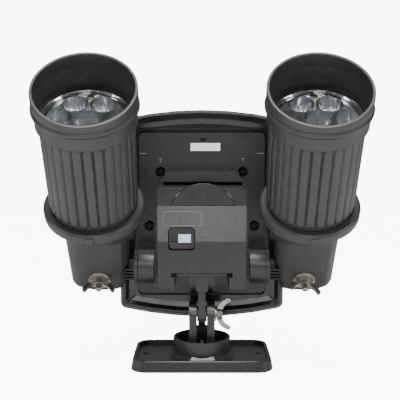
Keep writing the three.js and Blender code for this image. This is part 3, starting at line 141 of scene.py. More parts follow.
class MarkSizes(bpy.types.PropertyGroup):
    """Places and sizes of the fine raised lines on the lid and the cover."""

    arc_x: length("Arc x", "Centre of the lid's arc", 1)
    arc_z: length("Arc z", "Centre of the lid's arc", 118.8)
    arc_radius: length("Arc radius", "Radius of the lid's arc", 27)
    dash_long: length("Dash length", "Length of a dash on the arc", 5.5)
    dash_wide: length("Dash width", "Width of a dash on the arc", 0.7)
    dash_proud: length("Dash height", "Height of a dash above the lid", 0.35)
    # The slots on the arc are near-black dashes: painted shadow along the edge of the raised boss.
    slot_long: length("Slot length", "Length of a dark slot on the arc", 4)
    slot_wide: length("Slot width", "Width of a dark slot on the arc", 1)
    slot_proud: length("Slot height", "Height of a slot's edge above the lid", 0.12)
    legend_left: length("Legend left", "Left side of the blank legend frame", -30.7)
    legend_right: length("Legend right", "Right side of the blank legend frame", -0.3)
    legend_low: length("Legend low", "Lower side of the blank legend frame", 112.6)
    legend_high: length("Legend high", "Upper side of the blank legend frame", 123.8)
    slope_low: length("Slope low", "Lower end of the lid's sloping band", 100.8)
    slope_high: length("Slope high", "Upper end of the lid's sloping band", 128.1)
    tick_x: length("Tick", "Middle of the ticks on the border", 48.6)
    tick_z: length("Tick height", "Height of the ticks on the border", 168)
    tick_long: length("Tick length", "Length of a tick", 6.5)
    border_step: length("Border step", "Cover's border behind its middle", 0.8)
    screw_x: length("Screw x", "Upper cover screws", 34.3)
    screw_z: length("Screw z", "Upper cover screws", 152.6)
    stem_long: length("Stem length", "Upright line over a cover screw", 3.6)
    stem_above: length("Stem", "Middle of the upright line above the screw", 9.0)
    cap_long: length("Cap length", "Line across the top of the upright one", 2.6)
    cap_above: length("Cap", "Line across, above the screw", 10.9)
    line_wide: length("Line width", "Width of the lines on the cover", 0.5)
    line_proud: length("Line height", "Height of the lines above the cover", 0.3)


class StageSizes(bpy.types.PropertyGroup):
    """Floor, lights and camera."""

    distance: length("Distance", "Camera in front of the fixture", 600)
    height: length("Height", "Camera above the floor", 187.2)
    aside: length("Aside", "Camera to the right of the middle", -1.5)
    pitch: bpy.props.FloatProperty(
        name="Pitch", description="Camera looking down", default=math.radians(5.3), unit="ROTATION"
    )
    lens: bpy.props.FloatProperty(
        name="Lens", description="Focal length in millimetres", default=67.725,
        subtype="DISTANCE_CAMERA",
    )


# ---------------------------------------------------------------- surfaces
SHARP_ANGLE = math.radians(35)


def faced_out(points, faces):
    """The shell with its faces turned outwards: the sum of the signed tetrahedra that the
    faces make with the origin is its volume, and a negative one means they point inwards."""
    volume = 0.0
    for group in faces:
        for k in range(1, group.shape[1] - 1):
            a, b, c = points[group[:, 0]], points[group[:, k]], points[group[:, k + 1]]
            volume += np.einsum("ij,ij->i", a, np.cross(b, c)).sum()
    return points, ([group[:, ::-1] for group in faces] if volume < 0 else faces)


def skin(grid, closed_rows=False):
    """A closed shell through a grid of points (rows, columns, 3). Columns wrap round. The
    rows either wrap too, or the first and last row are each closed by a fan to their mean."""
    rows, columns = grid.shape[:2]
    row = np.arange(rows if closed_rows else rows - 1)[:, None]
    column = np.arange(columns)[None, :]
    here = row * columns + column
    beside = row * columns + (column + 1) % columns
    above = ((row + 1) % rows) * columns
    quads = np.stack([here, beside, above + (column + 1) % columns, above + column], -1).reshape(-1, 4)
    points = grid.reshape(-1, 3)
    if closed_rows:
        return faced_out(points, [quads])
    ends = np.stack([grid[0].mean(0), grid[-1].mean(0)])
    around = np.arange(columns)
    after = (around + 1) % columns
    last = (rows - 1) * columns
    bottom = np.stack([after, around, np.full(columns, rows * columns)], 1)
    top = np.stack([last + around, last + after, np.full(columns, rows * columns + 1)], 1)
    return faced_out(np.concatenate([points, ends]), [quads, bottom, top])


def rounded(profile, radius):
    """The closed profile with each corner replaced by a quadratic curve that leaves the sides
    a radius away from the corner, or nearly half-way along a side that is short."""
    steps = 3
    most = 0.45
    profile = np.asarray(profile, float)
    before, after = np.roll(profile, 1, 0), np.roll(profile, -1, 0)
    to_before, to_after = before - profile, after - profile
    reach_before = np.linalg.norm(to_before, axis=1, keepdims=True)
    reach_after = np.linalg.norm(to_after, axis=1, keepdims=True)
    start = profile + to_before / reach_before * np.minimum(radius, reach_before * most)
    end = profile + to_after / reach_after * np.minimum(radius, reach_after * most)
    share = np.linspace(0, 1, steps + 1)[None, :, None]
    curve = (
        (1 - share) ** 2 * start[:, None]
        + 2 * share * (1 - share) * profile[:, None]
        + share ** 2 * end[:, None]
    )
    return curve.reshape(-1, 2)


def turned(profile, sides):
    """A grid of revolution: x = r cos(a), y = r sin(a), z, for each profile point (r, z)."""
    angle = np.arange(sides) * 2 * np.pi / sides
    radius, height = np.asarray(profile, float).T
    return np.stack(
        [
            radius[:, None] * np.cos(angle),
            radius[:, None] * np.sin(angle),
            np.broadcast_to(height[:, None], (len(radius), sides)),
        ],
        -1,
    )


def smooth(value):
    """A soft step of a value v: 0 below 0, 1 above 1 and 3v^2 - 2v^3 between."""
    share = np.clip(value, 0, 1)
    return share * share * (3 - 2 * share)


def on_lamp(points, side, sizes):
    """Points from a lamp's own frame to the fixture's: turned in by the toe-in, moved out to
    the bolt, leaned forward about the arm axis and raised to it."""
    turn = -side * sizes.toe_in
    lean = sizes.lean
    x = points[..., 0] * math.cos(turn) + points[..., 2] * math.sin(turn) + side * sizes.offset
    y = points[..., 1]
    z = points[..., 2] * math.cos(turn) - points[..., 0] * math.sin(turn) - sizes.drop
    return np.stack(
        [
            x,
            y * math.cos(lean) - z * math.sin(lean),
            y * math.sin(lean) + z * math.cos(lean) + sizes.arm_height,
        ],
        -1,
    )


def smooth_by_angle(piece):
    """Marks the edges sharper than the sharp angle, so that the rest shades smoothly."""
    piece.data.set_sharp_from_angle(angle=SHARP_ANGLE)


def make_piece(name, shells, body, slot_name, finish=None, flat=False):
    """A piece from closed shells, put into the mesh as whole arrays. Its finish is the slot's
    own unless another one is named."""
    points = np.concatenate([shell[0] for shell in shells])
    offsets = np.cumsum([0] + [len(shell[0]) for shell in shells[:-1]])
    groups = [group + start for (_, faces), start in zip(shells, offsets) for group in faces]
    loops = np.concatenate([group.ravel() for group in groups])
    totals = np.concatenate([np.full(len(group), group.shape[1]) for group in groups])
    mesh = bpy.data.meshes.new(name)
    mesh.vertices.add(len(points))
    mesh.vertices.foreach_set("co", points.astype(np.float32).ravel())
    mesh.loops.add(len(loops))
    mesh.loops.foreach_set("vertex_index", loops.astype(np.int32))
    mesh.polygons.add(len(totals))
    starts = np.concatenate([[0], np.cumsum(totals)[:-1]])
    mesh.polygons.foreach_set("loop_start", starts.astype(np.int32))
    mesh.polygons.foreach_set("loop_total", totals.astype(np.int32))
    mesh.polygons.foreach_set("use_smooth", np.full(len(totals), not flat))
    mesh.update(calc_edges=True)
    mesh.validate()
    mesh.materials.append(MATERIALS[finish or slot_name])
    piece = bpy.data.objects.new(name, mesh)
    bpy.context.scene.collection.objects.link(piece)
    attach(piece, body)
    return piece


# ---------------------------------------------------------------- materials
MATERIALS = {}


def add(tree, kind, settings=None, links=None):
    """Adds one node. Settings are attributes or input values, and links are the sockets that
    feed its inputs."""
    node = tree.nodes.new(kind)
    for key, value in (settings or {}).items():
        if key in node.inputs:
            node.inputs[key].default_value = value
        else:
            setattr(node, key, value)
    for key, socket in (links or {}).items():
        tree.links.new(socket, node.inputs[key])
    return node


def new_material(name, settings):
    """A material with a principled shader, and the tree and shader to add patterns to."""
    material = bpy.data.materials.new(name)
    material.use_nodes = True
    tree = material.node_tree
    shader = tree.nodes["Principled BSDF"]
    for key, value in settings.items():
        shader.inputs[key].default_value = value
    place = add(tree, "ShaderNodeTexCoord").outputs["Object"]
    return material, tree, shader, place


def rgba(value):
    return (*value, 1.0)


def toned(base, factor, lift=0.0):
    """A lighter or darker tone of a colour."""
    return tuple(min(1.0, c * factor + lift) for c in base)


def calculate(tree, operation, first, second):
    """The result of a math node. Each side is a socket or a number."""
    node = add(tree, "ShaderNodeMath", {"operation": operation})
    for side, value in zip(node.inputs, (first, second)):
        if isinstance(value, float):
            side.default_value = value
        else:
            tree.links.new(value, side)
    return node.outputs[0]


def mix_shaders(tree, share, first, second, output):
    """Sends the output node a mix of two shaders, with a socket for the share of the second."""
    mix = add(tree, "ShaderNodeMixShader")
    for side, socket in zip(mix.inputs, (share, first, second)):
        tree.links.new(socket, side)
    tree.links.new(mix.outputs[0], tree.nodes[output].inputs["Surface"])


def noise(tree, place, size, detail=3.0):
    """Noise whose features are about a size across."""
    return add(
        tree, "ShaderNodeTexNoise", {"Scale": 1 / size, "Detail": detail}, {"Vector": place}
    ).outputs["Fac"]


def spread(tree, value, low, high, least=0.3, most=0.7):
    """Maps a value from least to most, the middle of a noise, to the range from low to high."""
    return add(
        tree, "ShaderNodeMapRange",
        {"From Min": least, "From Max": most, "To Min": low, "To Max": high}, {"Value": value},
    ).outputs["Result"]


def tint(tree, share, first, second):
    """A colour between two. The first one may be a socket."""
    colour_share, first_colour, second_colour, mixed_colour = 0, 6, 7, 2
    node = add(tree, "ShaderNodeMix", {"data_type": "RGBA"})
    tree.links.new(share, node.inputs[colour_share])
    if isinstance(first, bpy.types.NodeSocket):
        tree.links.new(first, node.inputs[first_colour])
    else:
        node.inputs[first_colour].default_value = rgba(first)
    node.inputs[second_colour].default_value = rgba(second)
    return node.outputs[mixed_colour]


def bump(tree, shader, height, distance):
    node = add(tree, "ShaderNodeBump", {"Distance": distance, "Strength": 1.0}, {"Height": height})
    tree.links.new(node.outputs["Normal"], shader.inputs["Normal"])


def moulded_abs(name, base, least_rough, most_rough, grain, depth):
    """ABS from a spark-eroded mould: a fine even grain, faint flow clouds in its tone, and
    dust that makes some patches duller."""
    material, tree, shader, place = new_material(name, {"IOR": 1.53})
    clouds = noise(tree, place, 14 * MM)
    dust = noise(tree, place, 2.2 * MM, 5.0)
    dusted = calculate(tree, "MULTIPLY", clouds, dust)
    tone = spread(tree, dusted, 0.0, 1.0, least=0.12, most=0.42)
    paler = tint(tree, tone, toned(base, 0.86), toned(base, 1.28, lift=0.002))
    tree.links.new(paler, shader.inputs["Base Color"])
    tree.links.new(spread(tree, dust, least_rough, most_rough), shader.inputs["Roughness"])
    bump(tree, shader, noise(tree, place, grain, 2.0), depth)
    return material


def plated_steel(name, base, roughness):
    """Cast steel under a bright plate: slightly uneven, with duller worn patches."""
    material, tree, shader, place = new_material(name, {"Metallic": 1.0})
    wear = noise(tree, place, 1.6 * MM, 4.0)
    worn = roughness + 0.14
    tone = tint(tree, spread(tree, wear, 0.0, 1.0), toned(base, 0.6), base)
    tree.links.new(tone, shader.inputs["Base Color"])
    tree.links.new(spread(tree, wear, worn, roughness), shader.inputs["Roughness"])
    bump(tree, shader, noise(tree, place, 0.7 * MM), 0.06 * MM)
    return material


def metallised(name, base):
    """Aluminium evaporated onto a polished moulding: a mirror with a faint orange peel."""
    finish = {"Metallic": 1.0, "Base Color": rgba(base)}
    material, tree, shader, place = new_material(name, finish)
    haze = noise(tree, place, 3 * MM)
    tree.links.new(spread(tree, haze, 0.1, 0.2), shader.inputs["Roughness"])
    bump(tree, shader, noise(tree, place, 2.5 * MM, 1.0), 0.04 * MM)
    return material


def clear_moulding(name, base):
    """Clear acrylic, moulded and polished: see-through, with a very faint haze in patches."""
    finish = {"Base Color": rgba(base), "Transmission Weight": 1.0, "IOR": 1.49}
    material, tree, shader, place = new_material(name, finish)
    haze = noise(tree, place, 5 * MM)
    tree.links.new(spread(tree, haze, 0.02, 0.06), shader.inputs["Roughness"])
    return material


def soft_rubber(name, base):
    """Moulded silicone: dull, with a soft bloom on its surface."""
    material, tree, shader, place = new_material(name, {"Base Color": rgba(base), "IOR": 1.41})
    bloom = noise(tree, place, 1 * MM)
    tree.links.new(spread(tree, bloom, 0.7, 0.9), shader.inputs["Roughness"])
    bump(tree, shader, noise(tree, place, 0.5 * MM), 0.03 * MM)
    return material


def coated_paper(name, base):
    """A paper label with a light coat: short fibres show as a faint mottle."""
    material, tree, shader, place = new_material(name, {"IOR": 1.5, "Roughness": 0.62})
    fibres = noise(tree, place, 0.6 * MM, 6.0)
    tree.links.new(tint(tree, fibres, toned(base, 0.9), base), shader.inputs["Base Color"])
    bump(tree, shader, fibres, 0.02 * MM)
    return material


def solder_mask(name, base):
    """Lacquered board: the copper under the lacquer shows as lighter tracks. The wave's own
    pattern repeats 20 / (2 pi) times in a length of 1 / scale."""
    tracks_apart = 2.37 * MM
    per_scale = 20 / (2 * math.pi)
    wave = {"Scale": 1 / (per_scale * tracks_apart), "Distortion": 1.5, "wave_profile": "SIN"}
    material, tree, shader, place = new_material(name, {"IOR": 1.55, "Roughness": 0.38})
    tracks = add(tree, "ShaderNodeTexWave", wave, {"Vector": place}).outputs["Fac"]
    copper = tint(tree, tracks, base, toned(base, 1.35))
    tree.links.new(copper, shader.inputs["Base Color"])
    bump(tree, shader, tracks, 0.03 * MM)
    return material


def printed_sleeve(name, base):
    """Shrink sleeve on a cell: glossy film with faint creases."""
    material, tree, shader, place = new_material(name, {"IOR": 1.5, "Coat Weight": 0.4})
    creases = noise(tree, place, 4 * MM, 2.0)
    tree.links.new(tint(tree, creases, toned(base, 0.75), base), shader.inputs["Base Color"])
    tree.links.new(spread(tree, creases, 0.25, 0.4), shader.inputs["Roughness"])
    bump(tree, shader, creases, 0.05 * MM)
    return material


def silicon_wafer(name, base, silver):
    """Coated silicon: dark crystal grains under printed silver fingers. The place along z is
    folded into a zigzag between 0 and half the fingers' spacing, and it is a finger where the
    zigzag is less than half a finger's width."""
    grain = 7 * MM
    fingers_apart = 2 * MM
    finger_wide = 0.2 * MM
    material, tree, shader, place = new_material(name, {"Roughness": 0.3, "IOR": 1.9})
    grains = add(tree, "ShaderNodeTexVoronoi", {"Scale": 1 / grain}, {"Vector": place})
    parts = add(tree, "ShaderNodeSeparateColor", links={"Color": grains.outputs["Color"]})
    crystal = tint(tree, parts.outputs["Red"], base, toned(base, 1.7))
    height = add(tree, "ShaderNodeSeparateXYZ", links={"Vector": place}).outputs["Z"]
    zigzag = calculate(tree, "PINGPONG", height, fingers_apart / 2)
    finger = calculate(tree, "LESS_THAN", zigzag, finger_wide / 2)
    tree.links.new(tint(tree, finger, crystal, silver), shader.inputs["Base Color"])
    return material


def make_materials(colours):
    """Every finish, by the name of its slot. A moulded plastic has a colour, its least and
    greatest roughness, and the size and depth of its grain."""
    grain = 0.9 * MM
    return {
        "housing_plastic": moulded_abs("housing_abs", colours.housing, 0.3, 0.4, grain, 0.004 * MM),
        "lamp_plastic": moulded_abs("lamp_abs", colours.lamp, 0.4, 0.5, grain, 0.006 * MM),
        "tray_plastic": moulded_abs("tray_abs", colours.tray, 0.14, 0.24, 6 * grain, 0.01 * MM),
        "bezel_plastic": moulded_abs("bezel_abs", colours.bezel, 0.3, 0.42, grain, 0.01 * MM),
        # The raised marks in a lighter tone: painted highlight.
        "scuffed": moulded_abs("painted_highlight_abs", colours.mark_highlight, 0.3, 0.4, grain, 0.01 * MM),
        # Near-black dashes on the lid's arc: painted shadow.
        "deep_slot": moulded_abs("painted_shadow_slot_abs", colours.shadow, 0.5, 0.6, grain, 0.01 * MM),
        "nickel_steel": plated_steel("nickel_plate", colours.nickel, 0.24),
        "black_steel": plated_steel("black_oxide_steel", colours.black_steel, 0.3),
        "brass": plated_steel("bare_brass", colours.brass, 0.28),
        "sensor_can": plated_steel("plated_can", colours.can, 0.3),
        "reflector_metal": metallised("metallised_reflector", colours.chrome),
        "clear_plastic": clear_moulding("clear_acrylic", colours.clear),
        "rubber": soft_rubber("silicone_rubber", colours.rubber),
        "white_label": coated_paper("label_paper", colours.label),
        "board_green": solder_mask("green_solder_mask", colours.board),
        "led_white": solder_mask("white_solder_mask", colours.led_board),
        "knob_blue": moulded_abs("knob_acetal", colours.knob, 0.3, 0.42, grain, 0.01 * MM),
        "cell_wrap": printed_sleeve("cell_sleeve", colours.cell),
        "solar_wafer": silicon_wafer("silicon_wafer", colours.wafer, colours.silver),
    }


# ---------------------------------------------------------------- the lamps
# The gap round a fitted part.
PLAY = 0.3 * MM
# How far the lens and its gasket lie inside the outside of the hood.
LENS_INSET = 3 * MM
GASKET_HEIGHT = 2 * MM
# The reflector's fixing screw: its place in from the bore, and the radius of its well.
SCREW_INSET = 3.6 * MM
SCREW_WELL = 2.9 * MM


def barrel_surface(sizes):
    """The fluted tube. Its skin is a closed profile turned about z. On the outside the
    radius is that of the grooves plus a raised panel for each flute. A panel is a stadium:
    with s the way across from the panel's middle line and z along it, the distance to the
    stadium is hypot(s, z beyond the straight part) - half width, and the radius rises with a
    soft step where that distance passes zero, and then by a crown that follows the root of
    the distance inside."""
    columns_per_flute = 14
    end_rows = 12
    middle_rows = 8
    end_reach = 4.5 * MM
    panel_share = 0.84
    foot_gap = 1 * MM
    head_gap = 0.6 * MM
    step_wide = 0.8 * MM
    crown = 0.35 * MM
    bevel = 0.7 * MM
    low, high = sizes.flute_from, sizes.flute_to
    groove = sizes.rib_radius - sizes.groove_depth
    pitch = 2 * math.pi * sizes.rib_radius / sizes.flutes
    half_panel = panel_share * pitch / 2
    straight_low = low + foot_gap + half_panel
    straight_high = high - head_gap - half_panel
    heights = np.concatenate(
        [
            np.linspace(low, low + end_reach, end_rows),
            np.linspace(low + end_reach, high - end_reach, middle_rows)[1:-1],
            np.linspace(high - end_reach, high, end_rows),
        ]
    )
    collar = sizes.radius - 0.9 * MM
    collar_from = high + 0.1 * MM
    top = sizes.collar_to - PLAY
    recess = sizes.lens_back - PLAY
    lens_bore = sizes.radius - LENS_INSET + PLAY
    upper = [
        (collar - bevel, collar_from),
        (collar, high + bevel),
        (collar, top - bevel),
        (collar - bevel, top),
        (lens_bore, top),
        (lens_bore, recess),
        (sizes.bore, recess),
        (sizes.bore, sizes.seat_from),
        (groove, sizes.seat_from),
    ]
    radii = np.concatenate([np.full(len(heights), groove), [point[0] for point in upper]])
    levels = np.concatenate([heights, [point[1] for point in upper]])
    columns = sizes.flutes * columns_per_flute
    grid = turned(np.stack([radii, levels], 1), columns)
    across = ((np.arange(columns) / columns_per_flute) % 1 - 0.5) * pitch
    beyond = np.maximum(0, np.maximum(straight_low - heights, heights - straight_high))
    gap = np.hypot(across[None, :], beyond[:, None]) - half_panel
    raised = (sizes.groove_depth - crown) * smooth(0.5 - gap / step_wide)
    raised += crown * np.clip(-gap / half_panel, 0, 1) ** 0.5
    scale = (groove + raised) / groove
    grid[:len(heights), :, :2] *= scale[..., None]
    return skin(grid, closed_rows=True)


def hood_surface(sizes):
    """The hood: a closed profile turned about z, with its corners rounded. Above the bead a
    point is raised by slant times y times its share of the way to the rim, which tips the
    rim and leaves the bead level."""
    columns = 144
    rounding = 0.5 * MM
    inner = sizes.radius - sizes.shell
    funnel_to = sizes.collar_to + 9 * MM
    shoulder = sizes.radius - 0.1 * MM
    bead = sizes.radius + 0.9 * MM
    bead_low = sizes.collar_to + 0.9 * MM
    bead_high = sizes.bead_to - 1.2 * MM
    groove = sizes.radius - 0.5 * MM
    groove_at = sizes.bead_to - 0.4 * MM
    wall_from = sizes.bead_to + 0.6 * MM
    foot = sizes.lens_back + sizes.lens_thick + GASKET_HEIGHT + 2 * PLAY
    spigot = sizes.radius - LENS_INSET
    throat = spigot - 0.4 * MM
    spigot_bore = spigot - 0.7 * MM
    throat_reach = 0.8 * MM
    profile = [
        (spigot, foot),
        (spigot, sizes.collar_to),
        (shoulder, sizes.collar_to),
        (bead, bead_low),
        (bead, bead_high),
        (groove, groove_at),
        (sizes.radius, wall_from),
        (sizes.radius, sizes.rim),
        (inner, sizes.rim),
        (inner, funnel_to),
        (throat, sizes.collar_to + throat_reach),
        (spigot_bore, sizes.collar_to - throat_reach),
        (spigot_bore, foot),
    ]
    grid = turned(rounded(profile, rounding), columns)
    share = np.clip((grid[..., 2] - sizes.bead_to) / (sizes.rim - sizes.bead_to), 0, 1)
    grid[..., 2] += math.tan(sizes.slant) * grid[..., 1] * share
    return skin(grid, closed_rows=True)


def lens_surface(sizes):
    """The lens: a disc turned about z. Its front is flat in the middle and carries
    concentric ridges, a cosine of the radius, near its edge."""
    columns = 96
    ridges = 3
    ridge_rows = 24
    ridge_depth = 0.7 * MM
    flat_edge = 1.6 * MM
    hub = 0.05 * MM
    radius = sizes.radius - LENS_INSET
    front = sizes.lens_back + sizes.lens_thick
    ridge_from = 0.8 * radius
    ridge_to = radius - flat_edge
    across = np.linspace(ridge_from, ridge_to, ridge_rows)
    turns = ridges * (across - ridge_from) / (ridge_to - ridge_from)
    lowered = ridge_depth * (0.5 - 0.5 * np.cos(2 * np.pi * turns))
    ridged = np.stack([across, front - lowered], 1)[::-1]
    back = [(hub, sizes.lens_back), (radius, sizes.lens_back), (radius, front)]
    profile = np.concatenate([back, ridged, [(hub, front)]])
    return skin(turned(profile, columns))


def gasket_surface(sizes):
    """The gasket: a ring of rounded section between the lens and the hood."""
    columns = 96
    wide = 1.1 * MM
    rounding = 0.4 * MM
    outer = sizes.radius - LENS_INSET
    inner = outer - wide
    low = sizes.lens_back + sizes.lens_thick + PLAY
    high = low + GASKET_HEIGHT
    profile = [(inner, low), (outer, low), (outer, high), (inner, high)]
    return skin(turned(rounded(profile, rounding), columns), closed_rows=True)


def cup_cell(place, neighbours, sizes, outer):
    """One reflector cup with the part of the face that is nearest to it. The cup is a
    paraboloid, its depth going with the square of the radius, in flat facets. The face runs
    on to a boundary that, along each direction, is the nearest of the half-way lines to the
    neighbouring cups, the outer circle and the near side of the round well that its fixing
    screw sits in. Walls and a floor close the cell."""
    facets = 24
    columns_per_facet = 4
    rings = 9
    tiny = 1e-9
    least_face = 0.02 * MM
    columns = facets * columns_per_facet
    facet_turn = 2 * np.pi / facets
    top = sizes.lens_back - PLAY
    bottom = top - sizes.reflector_height
    mouth = sizes.cup_pitch / 2 - 0.35 * MM
    angle = np.arange(columns) * 2 * np.pi / columns
    way = np.stack([np.cos(angle), np.sin(angle)], 1)
    along = way @ place
    reach = -along + np.sqrt(along ** 2 + outer ** 2 - place @ place)
    for other in neighbours:
        gap = other - place
        towards = way @ gap
        half_way = (gap @ gap) / 2 / np.maximum(towards, tiny)
        reach = np.minimum(reach, np.where(towards > tiny, half_way, np.inf))
    screw = np.array([0.0, sizes.bore - SCREW_INSET]) - place
    towards = way @ screw
    inside = SCREW_WELL ** 2 - (screw @ screw - towards ** 2)
    met = (inside > 0) & (towards > 0)
    near_side = towards - np.sqrt(np.maximum(inside, 0))
    reach = np.where(met, np.minimum(reach, near_side), reach)
    boundary = np.maximum(reach, mouth + least_face)
    nearest = np.round(angle / facet_turn) * facet_turn
    facet = 1 / np.cos(angle - nearest)
    facet = facet / facet.max()
    radii = np.linspace(sizes.cup_hole, mouth - 0.3 * MM, rings)
    deepest = bottom + 0.3 * MM
    shallowest = top - 0.1 * MM
    levels = deepest + (shallowest - deepest) * (radii / mouth) ** 2

    def ring(reach_out, level):
        return np.column_stack([way * np.reshape(reach_out, (-1, 1)), np.full(columns, level)])

    rows = [ring(sizes.cup_hole * facet, bottom)]
    rows += [ring(radius * facet, level) for radius, level in zip(radii, levels)]
    rows += [ring(mouth, top), ring(boundary, top), ring(boundary, bottom)]
    grid = np.stack(rows)
    grid[..., :2] += place
    return skin(grid, closed_rows=True)


def cup_places(sizes):
    """One cup in the middle and six round it."""
    outer_cups = 6
    turn = np.arange(outer_cups) * 2 * np.pi / outer_cups
    ring = sizes.cup_pitch * np.stack([np.cos(turn), np.sin(turn)], 1)
    return np.concatenate([[[0.0, 0.0]], ring])


def reflector_surface(sizes):
    """The reflector: seven faceted cups, each with its share of the face."""
    wall_gap = 0.35 * MM
    places = cup_places(sizes)
    outer = sizes.bore - wall_gap
    return [
        cup_cell(place, [other for other in places if not np.allclose(other, place)], sizes, outer)
        for place in places
    ]


def placed(shells, side, sizes):
    """The shells of a lamp's piece, moved to where the lamp is."""
    return [(on_lamp(points, side, sizes), faces) for points, faces in shells]


class FLOODLIGHT_OT_barrels(bpy.types.Operator):
    """Build the fluted barrels"""

    bl_idname = "floodlight.barrels"
    bl_label = "Fluted barrels"

    def execute(self, context):
        sizes = context.scene.lamp_sizes
        for word, side in SIDES.items():
            shells = placed([barrel_surface(sizes)], side, sizes)
            piece = make_piece(f"{word}_fluted_barrel", shells, f"{word}_lamp", "lamp_plastic")
            smooth_by_angle(piece)
            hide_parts(f"{word}_lamp_barrel")
        return {"FINISHED"}


class FLOODLIGHT_OT_hoods(bpy.types.Operator):
    """Build the hoods with their slanted rims"""

    bl_idname = "floodlight.hoods"
    bl_label = "Hoods"

    def execute(self, context):
        sizes = context.scene.lamp_sizes
        for word, side in SIDES.items():
            shells = placed([hood_surface(sizes)], side, sizes)
            piece = make_piece(f"{word}_hood_ring", shells, f"{word}_lamp", "lamp_plastic")
            smooth_by_angle(piece)
            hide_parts(f"{word}_lamp_hood")
        return {"FINISHED"}


class FLOODLIGHT_OT_lenses(bpy.types.Operator):
    """Build the ridged clear lenses and their gaskets"""

    bl_idname = "floodlight.lenses"
    bl_label = "Lenses"

    def execute(self, context):
        sizes = context.scene.lamp_sizes
        for word, side in SIDES.items():
            shells = placed([lens_surface(sizes)], side, sizes)
            piece = make_piece(f"{word}_ridged_lens", shells, f"{word}_lamp", "clear_plastic")
            smooth_by_angle(piece)
            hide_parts(f"{word}_lens")
            shells = placed([gasket_surface(sizes)], side, sizes)
            seal = make_piece(f"{word}_lens_seal", shells, f"{word}_lamp", "rubber")
            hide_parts(f"{word}_lens_gasket")
        return {"FINISHED"}


class FLOODLIGHT_OT_reflectors(bpy.types.Operator):
    """Build the reflectors with seven faceted cups"""

    bl_idname = "floodlight.reflectors"
    bl_label = "Reflectors"

    def execute(self, context):
        sizes = context.scene.lamp_sizes
        for word, side in SIDES.items():
            shells = placed(reflector_surface(sizes), side, sizes)
            piece = make_piece(
                f"{word}_cup_reflector", shells, f"{word}_lamp", "reflector_metal", flat=True
            )
            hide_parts(f"{word}_reflector")
        return {"FINISHED"}


# ---------------------------------------------------------------- moulded marks
def ridge(centre, turn, long, wide, base, proud):
    """A raised line on a face that looks towards -y: a stadium outline, sunk a little into the
    face, whose sides draw in towards its top. The outline is a rectangle's two ends pushed out
    by half circles: x = sign(cos a) (long - wide) / 2 + wide / 2 cos a, z = wide / 2 sin a."""
    columns = 24
    sunk = 0.15 * MM
    around = (np.arange(columns) + 0.5) * 2 * np.pi / columns
    rows = []
    for drawn_in, raised in ((0, -sunk), (0, 0.6 * proud), (0.35, 0.9 * proud), (0.7, proud)):
        half = wide / 2 * (1 - drawn_in)
        x = np.sign(np.cos(around)) * (long - wide) / 2 + half * np.cos(around)
        z = half * np.sin(around)
        rows.append(
            np.stack(
                [
                    centre[0] + x * math.cos(turn) - z * math.sin(turn),
                    np.full(columns, base - raised),
                    centre[1] + x * math.sin(turn) + z * math.cos(turn),
                ],
                1,
            )
        )
    return skin(np.stack(rows))


def legend_frame(sizes, upper_y, lower_y):
    """A blank raised frame on the sloping band: a rounded rectangle, a superellipse of power
    12, drawn four times for the section's corners and laid on the plane of the slope."""
    columns = 120
    power = 12
    line_wide = 0.45 * MM
    sunk = 0.1 * MM
    proud = 0.25 * MM
    around = np.arange(columns) * 2 * np.pi / columns
    outline_x = np.sign(np.cos(around)) * np.abs(np.cos(around)) ** (2 / power)
    outline_z = np.sign(np.sin(around)) * np.abs(np.sin(around)) ** (2 / power)
    half_wide = (sizes.legend_right - sizes.legend_left) / 2
    half_tall = (sizes.legend_high - sizes.legend_low) / 2
    rows = []
    for inset, raised in ((0, -sunk), (0, proud), (line_wide, proud), (line_wide, -sunk)):
        x = (half_wide - inset) * outline_x + (sizes.legend_right + sizes.legend_left) / 2
        z = (half_tall - inset) * outline_z + (sizes.legend_high + sizes.legend_low) / 2
        share = (z - sizes.slope_low) / (sizes.slope_high - sizes.slope_low)
        y = lower_y + (upper_y - lower_y) * share - raised
        rows.append(np.stack([x, y, z], 1))
    return skin(np.stack(rows), closed_rows=True)


